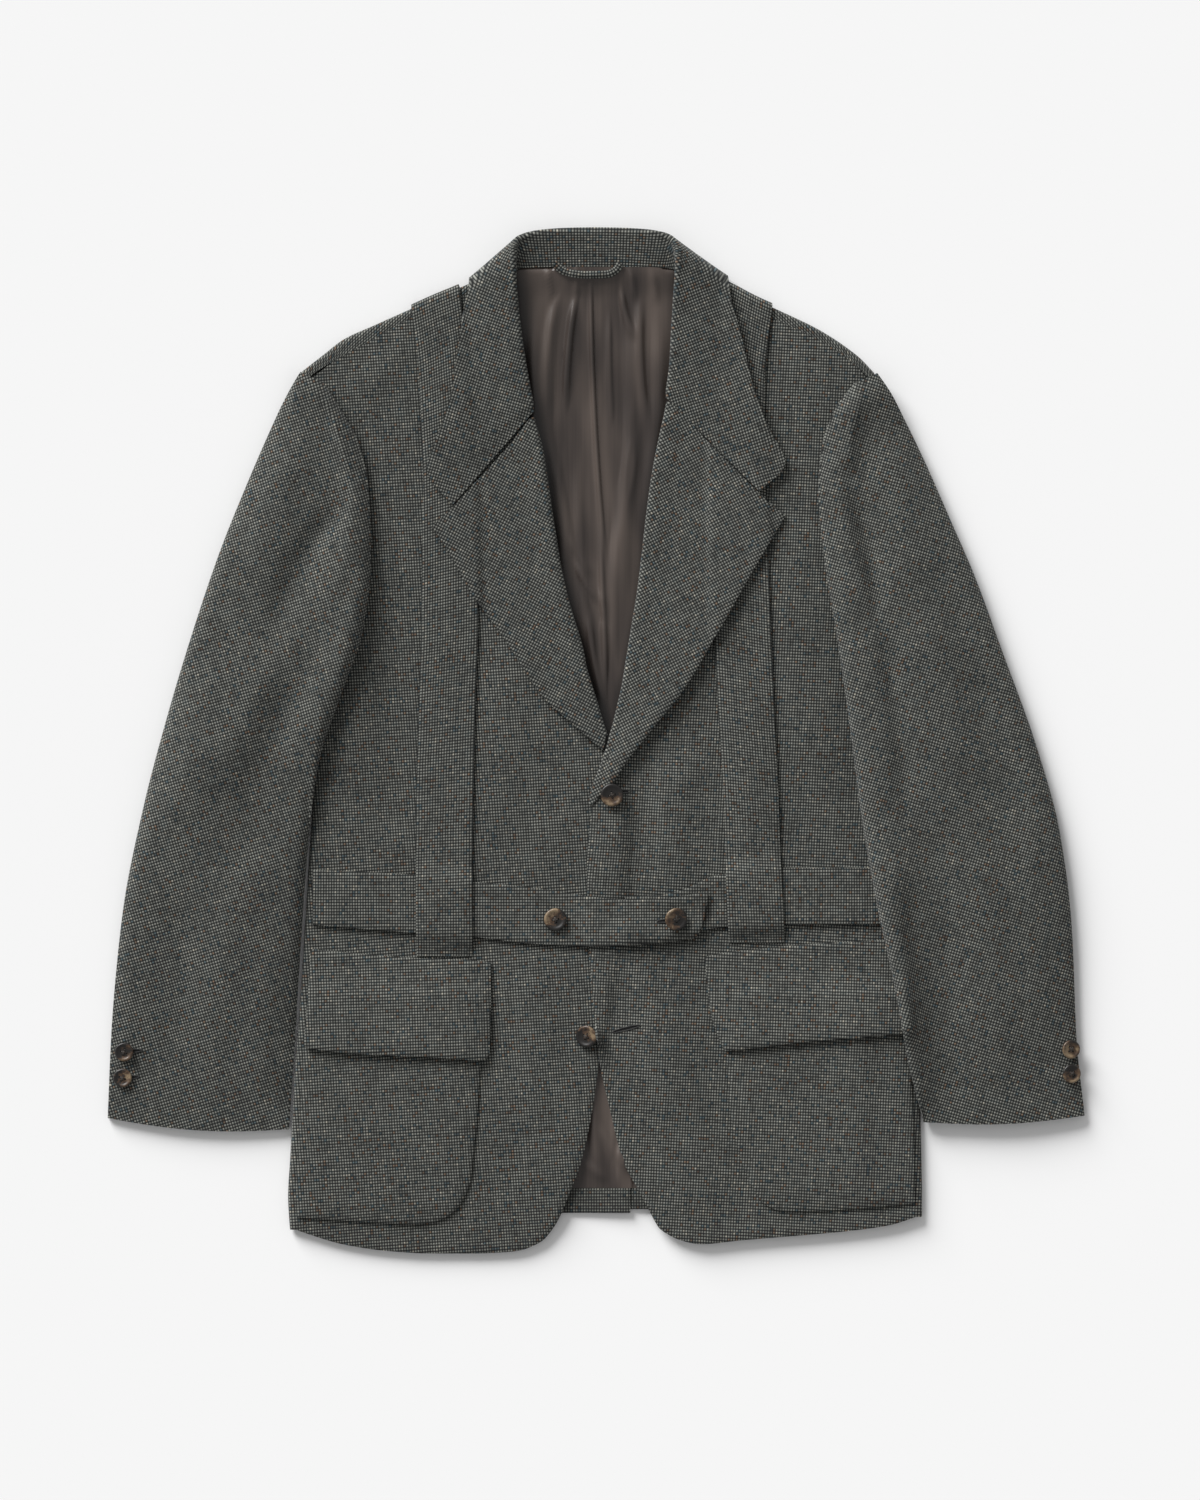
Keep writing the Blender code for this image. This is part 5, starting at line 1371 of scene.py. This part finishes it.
def makeButton(name, under):
    shape = buttonShape
    x, y, diameter, lean, lightSide, lightness = shape["spots"][name]
    radius = diameter / 2
    height, slope = closet.hit(x, y, under)
    around = [(r * radius * math.cos(k * math.pi / 8), r * radius * math.sin(k * math.pi / 8))
              for r in (0.35, 0.7, 1.0) for k in range(16)]
    touched = [(a, b, *closet.hit(x + a, y + b, under)) for a, b in around]
    normal = sum((n for _, _, _, n in touched), slope.copy()).normalized()
    normal = (normal + Vector((*lean, 0))).normalized()
    lift = shape["rest"]
    for a, b, h, _ in touched:
        lift = max(lift, Vector((a, b, h - height)).dot(normal) + shape["rest"])
    lift = min(lift, shape["rest"] + shape["highest"])
    place = (Matrix.Translation(Vector((x, y, height)) + normal * lift)
             @ normal.to_track_quat("Z", "Y").to_matrix().to_4x4())
    mesh = buttonBlank(diameter)
    mesh.name = name + "_look"
    mesh.materials.clear()
    mesh.materials.append(horn)
    tone = mesh.attributes.new("tone", "FLOAT", "POINT")
    turn = math.radians(lightSide)
    facing = Vector((math.cos(turn), math.sin(turn), 0))
    tone.data.foreach_set("value", [lightness + shape["contrast"] * v.co.dot(facing) / radius
                                    for v in mesh.vertices])
    mesh.transform(Matrix.Scale(mm, 4) @ place)
    mesh.shade_smooth()
    mesh.set_sharp_from_angle(angle=math.radians(38))
    button = bpy.data.objects.new(name + "_look", mesh)
    bpy.context.scene.collection.objects.link(button)

    ring, face = shape["holeRing"], shape["height"] * shape["profile"][1][1]
    vertices, faces = [], []
    for k in (0, 1):
        angle = math.pi / 4 + k * math.pi / 2
        for shift in (-0.33, 0.33):
            aside = Vector((-math.sin(angle), math.cos(angle), 0)) * shift
            reach = Vector((math.cos(angle), math.sin(angle), 0)) * ring
            path = [reach * s + aside + Vector((0, 0, z)) for s, z in
                    ((1.0, face - 2.2), (0.98, face - 0.2), (0.8, face + 0.35 + k * 0.3),
                     (0.4, face + 0.5 + k * 0.4), (-0.4, face + 0.5 + k * 0.4),
                     (-0.8, face + 0.35 + k * 0.3), (-0.98, face - 0.2), (-1.0, face - 2.2))]
            v, f = tube(path, shape["thread"])
            faces += [tuple(len(vertices) + i for i in one) for one in f]
            vertices += v
    shank, around = tube([Vector((0, 0, -lift)), Vector((0, 0, 0.2))], shape["shank"], 16)
    faces += [tuple(len(vertices) + i for i in one) for one in around]
    vertices += shank
    thread = pieceFrom(name + "_thread", [place @ v * mm for v in vertices], faces, buttonThread)
    corners, sides = plainButton(diameter)
    closet.remember(name, [place @ v for v in corners], sides)
    return [button, thread]


def plainButton(diameter):
    # the same button without holes, for what lies on it
    shape = buttonShape
    radius, count, rings = diameter / 2, shape["roughSegments"], shape["profile"][1:-1]
    turns = [2 * math.pi * k / count for k in range(count)]
    corners = [Vector((r * radius * math.cos(t), r * radius * math.sin(t), h * shape["height"]))
               for r, h in rings for t in turns]
    sides = [(i * count + k, i * count + n, (i + 1) * count + n, (i + 1) * count + k)
             for i in range(len(rings) - 1) for k, n in ((k, (k + 1) % count) for k in range(count))]
    return corners, sides + [tuple(range(count))]


holeShape = {
    "width": 2.6, "thread": 0.55, "sides": 6, "segments": 40, "clear": 0.15,
    "slitRows": 14, "slitClear": 0.12, "slitDepth": 0.6,
    # the two ends of each buttonhole that shows, and the piece it is cut in
    "holes": {
        "hole_front_top": (8.0, -42.8, 28.6, -41.6, "front_left"),
        "hole_front_lower": (13.6, -234.2, 35.8, -228.6, "front_left"),
        "hole_belt_left": (49.0, -145.6, 66.0, -144.4, "belt_right"),
        "hole_cuff_right_upper": (-376.0, -250.0, -362.6, -248.6, "sleeve_top_right"),
        "hole_cuff_right_lower": (-377.0, -270.8, -365.0, -270.0, "sleeve_top_right"),
    },
}


def holeFrame(name):
    # the middle of a buttonhole, its length, its direction and the piece it is cut in
    x0, y0, x1, y1, piece = holeShape["holes"][name]
    length = math.hypot(x1 - x0, y1 - y0)
    return (x0 + x1) / 2, (y0 + y1) / 2, length, (x1 - x0) / length, (y1 - y0) / length, piece


def makeHole(name):
    # whipped thread round a slit
    shape = holeShape
    middleX, middleY, length, dx, dy, piece = holeFrame(name)
    count, sides, thread, half = shape["segments"], shape["sides"], shape["thread"], shape["width"] / 2
    vertices, faces = [], []
    for k in range(count):
        turn = 2 * math.pi * k / count
        along = math.cos(turn) * (length / 2 - half)
        along += math.copysign(half, math.cos(turn)) * abs(math.cos(turn))
        aside = math.sin(turn) * half
        for s in range(sides):
            tilt = 2 * math.pi * s / sides
            reach = 1 + thread * math.cos(tilt) / half
            out = thread * math.cos(tilt) * math.cos(turn)
            x = middleX + (dx * along - dy * aside * reach) + dx * out
            y = middleY + (dy * along + dx * aside * reach) + dy * out
            ground = closet.hit(x, y, (piece,))[0]
            vertices.append((x * mm, y * mm, (ground + shape["clear"] + thread * math.sin(tilt)) * mm))
    for k in range(count):
        ahead = (k + 1) % count
        for s in range(sides):
            n = (s + 1) % sides
            faces.append((k * sides + s, ahead * sides + s, ahead * sides + n, k * sides + n))
    return pieceFrom(name, vertices, faces, holeThread)


def makeSlit(name):
    # a dark sheet just above the cloth: painted shade for the inside of a buttonhole
    shape, count = holeShape, holeShape["slitRows"]
    x0, y0, x1, y1, piece = shape["holes"][name]
    dx, dy = holeFrame(name)[3:5]
    top = []
    for t in np.linspace(0, 1, count):
        half = (shape["width"] / 2 - 0.1) * math.sqrt(max(0.02, 1 - (2 * t - 1) ** 4))
        for s in (-1, 0, 1):
            x, y = mix(x0, x1, t) - dy * s * half, mix(y0, y1, t) + dx * s * half
            top.append((x, y, closet.hit(x, y, (piece,))[0] + shape["slitClear"]))
    top = np.array(top)
    below = len(top)
    vertices = np.concatenate([top, top - (0, 0, shape["slitDepth"])]) * mm
    faces = []
    for a in (i * 3 + j for i in range(count - 1) for j in range(2)):
        faces.append((a, a + 3, a + 4, a + 1))
        faces.append((below + a, below + a + 1, below + a + 4, below + a + 3))
    rim = [0, 1, 2] + [i * 3 + 2 for i in range(1, count)] + [below - 2, below - 3]
    rim += [i * 3 for i in range(count - 2, 0, -1)]
    for a, b in zip(rim, rim[1:] + rim[:1]):
        faces.append((a, b, below + b, below + a))
    return pieceFrom(name.replace("hole", "slit"), vertices, faces, slitShade)


stitchShape = {
    "pitch": 2.9, "length": 2.0, "thickness": 0.42, "sink": 0.02, "seed": 4,
    "rise": 1.0, "thinRise": 0.8,         # of the line over the middle of the wall
    # piece, and for each sewn border: distance in mm, and the share of it that is sewn
    "lines": (
        ("belt_right", (("high", 3.2, 0.02, 0.98), ("low", 3.2, 0.02, 0.98), ("left", 3.2, 0.1, 0.9))),
        ("belt_left", (("high", 3.2, 0.02, 0.98), ("low", 3.2, 0.02, 0.98))),
        ("flap", (("low", 4.5, 0.03, 0.97), ("left", 4.5, 0.06, 0.96), ("high", 3.0, 0.02, 0.98))),
        ("pocket", (("low", 3.0, 0.02, 0.98), ("left", 3.0, 0.02, 0.98))),
        ("strap", (("left", 3.0, 0.01, 0.99), ("right", 3.0, 0.01, 0.99))),
        ("front", (("low", 7.0, 0.03, 0.80),)),
        ("front_right", (("left", 5.0, 0.01, 0.56),)),
        ("front_left", (("left", 5.0, 0.01, 0.48),)),
        ("hem_turn", (("high", 2.0, 0.02, 0.98),)),
        ("lapel", (("right", 4.0, 0.02, 0.98),)),
    ),
}


def seamLine(name, border, inset, start, end):
    # a line on top of a piece, a fixed distance in from one of its borders
    grid = closet.grids[name]
    lengths = dict(zip(("left", "right", "low", "high"), edgeLengths(grid)))[border]
    if border in ("left", "right"):
        grid, lengths = grid.transpose(1, 0, 2), lengths.T
    if border in ("right", "high"):
        grid, lengths = grid[::-1], lengths[::-1]
    points = []
    count = grid.shape[1]
    for k in range(int(count * start), int(count * end)):
        i = int(np.searchsorted(lengths[:, k], inset))
        i = min(max(i, 1), len(grid) - 1)
        t = (inset - lengths[i - 1, k]) / max(lengths[i, k] - lengths[i - 1, k], 1e-6)
        points.append(mix(grid[i - 1, k], grid[i, k], min(t, 1.0)))
    return points


def socketOf(tree, name):
    return next(s.identifier for s in tree.interface.items_tree if s.name == name)


def stitchTree():
    # short threads placed along every line of the mesh it is given
    tree = bpy.data.node_groups.new("stitches", "GeometryNodeTree")
    tree.is_modifier = True
    face = tree.interface
    face.new_socket("Lines", in_out="INPUT", socket_type="NodeSocketGeometry")
    for name in ("Pitch", "Length", "Thickness"):
        face.new_socket(name, in_out="INPUT", socket_type="NodeSocketFloat")
    face.new_socket("Seed", in_out="INPUT", socket_type="NodeSocketInt")
    face.new_socket("Thread", in_out="INPUT", socket_type="NodeSocketMaterial")
    face.new_socket("Stitches", in_out="OUTPUT", socket_type="NodeSocketGeometry")

    def node(kind, settings=None, **inputs):
        made = tree.nodes.new(kind)
        for key, value in (settings or {}).items():
            setattr(made, key, value)
        for key, value in inputs.items():
            spot = made.inputs[int(key[2:]) if key.startswith("at") else key]
            if isinstance(value, bpy.types.NodeSocket):
                tree.links.new(value, spot)
            else:
                spot.default_value = value
        return made.outputs

    given = node("NodeGroupInput")
    curve = node("GeometryNodeMeshToCurve", Mesh=given["Lines"])["Curve"]
    points = node("GeometryNodeCurveToPoints", {"mode": "LENGTH"}, Curve=curve, Length=given["Pitch"])
    bead = node("GeometryNodeMeshUVSphere", Segments=6, Rings=4, Radius=0.5)["Mesh"]
    size = node("ShaderNodeCombineXYZ", X=given["Thickness"], Y=given["Thickness"], Z=given["Length"])
    shaped = node("GeometryNodeTransform", Geometry=bead, Scale=size["Vector"])["Geometry"]
    vary = node("FunctionNodeRandomValue", {"data_type": "FLOAT_VECTOR"}, at0=(0.85, 0.85, 0.8),
                at1=(1.15, 1.15, 1.1), Seed=given["Seed"])[0]
    placed = node("GeometryNodeInstanceOnPoints", Points=points["Points"], Rotation=points["Rotation"],
                  Instance=shaped, Scale=vary)["Instances"]
    real = node("GeometryNodeRealizeInstances", Geometry=placed)["Geometry"]
    dyed = node("GeometryNodeSetMaterial", Geometry=real, Material=given["Thread"])["Geometry"]
    node("NodeGroupOutput", Stitches=dyed)
    return tree


def makeStitches(tree):
    shape = stitchShape
    vertices, edges = [], []
    sewn = [(piece, line) for name, lines in shape["lines"]
            for piece in ((name,) if name in closet.grids else (name + "_right", name + "_left"))
            for line in lines]
    for piece, line in sewn:
        points = seamLine(piece, *line)
        first = len(vertices)
        rise = shape["thinRise" if piece.startswith(("pocket", "hem")) else "rise"] - shape["sink"]
        vertices += [(x * mm, y * mm, (z + rise) * mm) for x, y, z in points]
        edges += [(first + k, first + k + 1) for k in range(len(points) - 1)]
    mesh = bpy.data.meshes.new("stitch_lines")
    mesh.from_pydata(vertices, edges, [])
    lines = bpy.data.objects.new("stitch_lines", mesh)
    bpy.context.scene.collection.objects.link(lines)
    maker = lines.modifiers.new("stitches", "NODES")
    maker.node_group = tree
    for name, value in (("Pitch", shape["pitch"] * mm), ("Length", shape["length"] * mm),
                        ("Thickness", shape["thickness"] * mm), ("Seed", shape["seed"]),
                        ("Thread", sewingThread)):
        maker[socketOf(tree, name)] = value
    evaluated = lines.evaluated_get(bpy.context.evaluated_depsgraph_get())
    sewn = bpy.data.meshes.new_from_object(evaluated)
    bpy.data.objects.remove(lines, do_unlink=True)
    sewn.name = "stitches"
    sewn.shade_smooth()
    stitches = bpy.data.objects.new("stitches", sewn)
    bpy.context.scene.collection.objects.link(stitches)
    return stitches


# Building

# near black: painted shade inside each buttonhole slit
slitShade = plainMaterial("buttonhole_painted_shade", (12, 12, 12), 0.9)
looks = {}
for side in ("right", "left"):
    looks["back_" + side] = makeBack(side)
looks["lining"] = makeLining()
for side in ("right", "left"):
    looks["hem_turn_" + side] = makeHemTurn(side)
print("back and lining made")
looks["front_right"] = makeFront("right")
buttons = {"button_front_lower": makeButton("button_front_lower", ("front_right",))}
looks["front_left"] = makeFront("left", ("front_right", "button_front_lower"))
fronts = ("front_right", "front_left")
print("fronts made")
looks["belt_left"] = makeBelt("left", fronts)
looks["belt_right"] = makeBelt("right", fronts + ("belt_left", "button_front_lower"))
for side in ("right", "left"):
    looks["pocket_" + side] = makePocket(side, ("front_" + side,))
    looks["flap_" + side] = makeFlap(side, ("front_" + side, "pocket_" + side))
    looks["strap_" + side] = makeStrap(side, ("front_" + side, "back_" + side, "belt_" + side))
print("belts, pockets and straps made")
straps = ("strap_right", "strap_left")
looks["lapel_right"] = makeLapel("right", fronts + straps)
looks["lapel_left"] = makeLapel("left", fronts + straps + ("lapel_right",))
looks["collar"] = makeCollar(fronts + straps + ("back_right", "back_left"))
looks["hanger_loop"] = makeLoop(("lining", "collar"))
print("lapels and collar made")
for side in ("right", "left"):
    below = tuple(part + "_" + side for part in ("front", "belt", "pocket", "flap", "back"))
    looks["sleeve_under_" + side], looks["sleeve_top_" + side] = makeSleeve(side, below)
print("sleeves made")
upper = fronts + ("lapel_left", "belt_right", "belt_left", "sleeve_top_right", "sleeve_top_left")
for name in buttonShape["spots"]:
    if name not in buttons:
        buttons[name] = makeButton(name, upper)
holes = [makeHole(name) for name in holeShape["holes"]] + [makeSlit(name) for name in holeShape["holes"]]
stitches = makeStitches(stitchTree())
print("buttons and sewing made")


# Every look hangs from the root body, and the frame's part of the same name is hidden

for name, piece in looks.items():
    piece.name = name + "_look"
    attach(piece, "root")
    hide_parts(name)
    "lining_satin" if name == "lining" else "tweed"
for name, (button, thread) in buttons.items():
    for piece in (button, thread):
        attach(piece, "root")
    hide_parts(name)
for piece in holes + [stitches]:
    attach(piece, "root")
# Floor, light and camera

stage = {
    "floor": (246, 246, 246), "photoCentre": (3.6, -8.8), "photoHeight": 1200.0, "cameraHeight": 6000.0,
    "keyShare": 0.60,            # of the light on the floor; the sky gives the rest
    "keyFrom": (-0.62, 0.90, 0.47), "keySpread": 34.0,
}


def makeFloor():
    finish, tree, shader = newMaterial("floor")
    setAll(shader, Base_Color=colour(*stage["floor"]), Roughness=0.9)
    shader.inputs["Specular IOR Level"].default_value = 0.1
    floor = pieceFrom("floor", [(-4, -4, 0), (4, -4, 0), (4, 4, 0), (-4, 4, 0)], [(0, 1, 2, 3)], finish)


def makeLights():
    key = bpy.data.lights.new("key", "SUN")
    towards = Vector(stage["keyFrom"]).normalized()
    key.energy = stage["keyShare"] * math.pi / towards.z
    key.angle = math.radians(stage["keySpread"])
    lamp = bpy.data.objects.new("key", key)
    lamp.rotation_euler = towards.to_track_quat("Z", "Y").to_euler()
    bpy.context.scene.collection.objects.link(lamp)
    world = bpy.data.worlds.new("soft sky")
    world.use_nodes = True
    background = world.node_tree.nodes["Background"]
    background.inputs["Color"].default_value = (1, 1, 1, 1)
    background.inputs["Strength"].default_value = 1 - stage["keyShare"]
    bpy.context.scene.world = world
    bpy.context.scene.view_settings.view_transform = "Standard"   # keeps the white floor white


def makeCamera():
    x, y = (c * mm for c in stage["photoCentre"])
    lens = bpy.data.cameras.new("camera")
    lens.sensor_width = 36.0
    lens.lens = 36.0 * stage["cameraHeight"] / stage["photoHeight"]
    lens.clip_end = 20.0
    camera = bpy.data.objects.new("camera", lens)
    camera.location = (x, y, stage["cameraHeight"] * mm)
    bpy.context.scene.collection.objects.link(camera)
    bpy.context.scene.camera = camera


makeFloor()
makeLights()
makeCamera()
print("floor, light and camera placed")
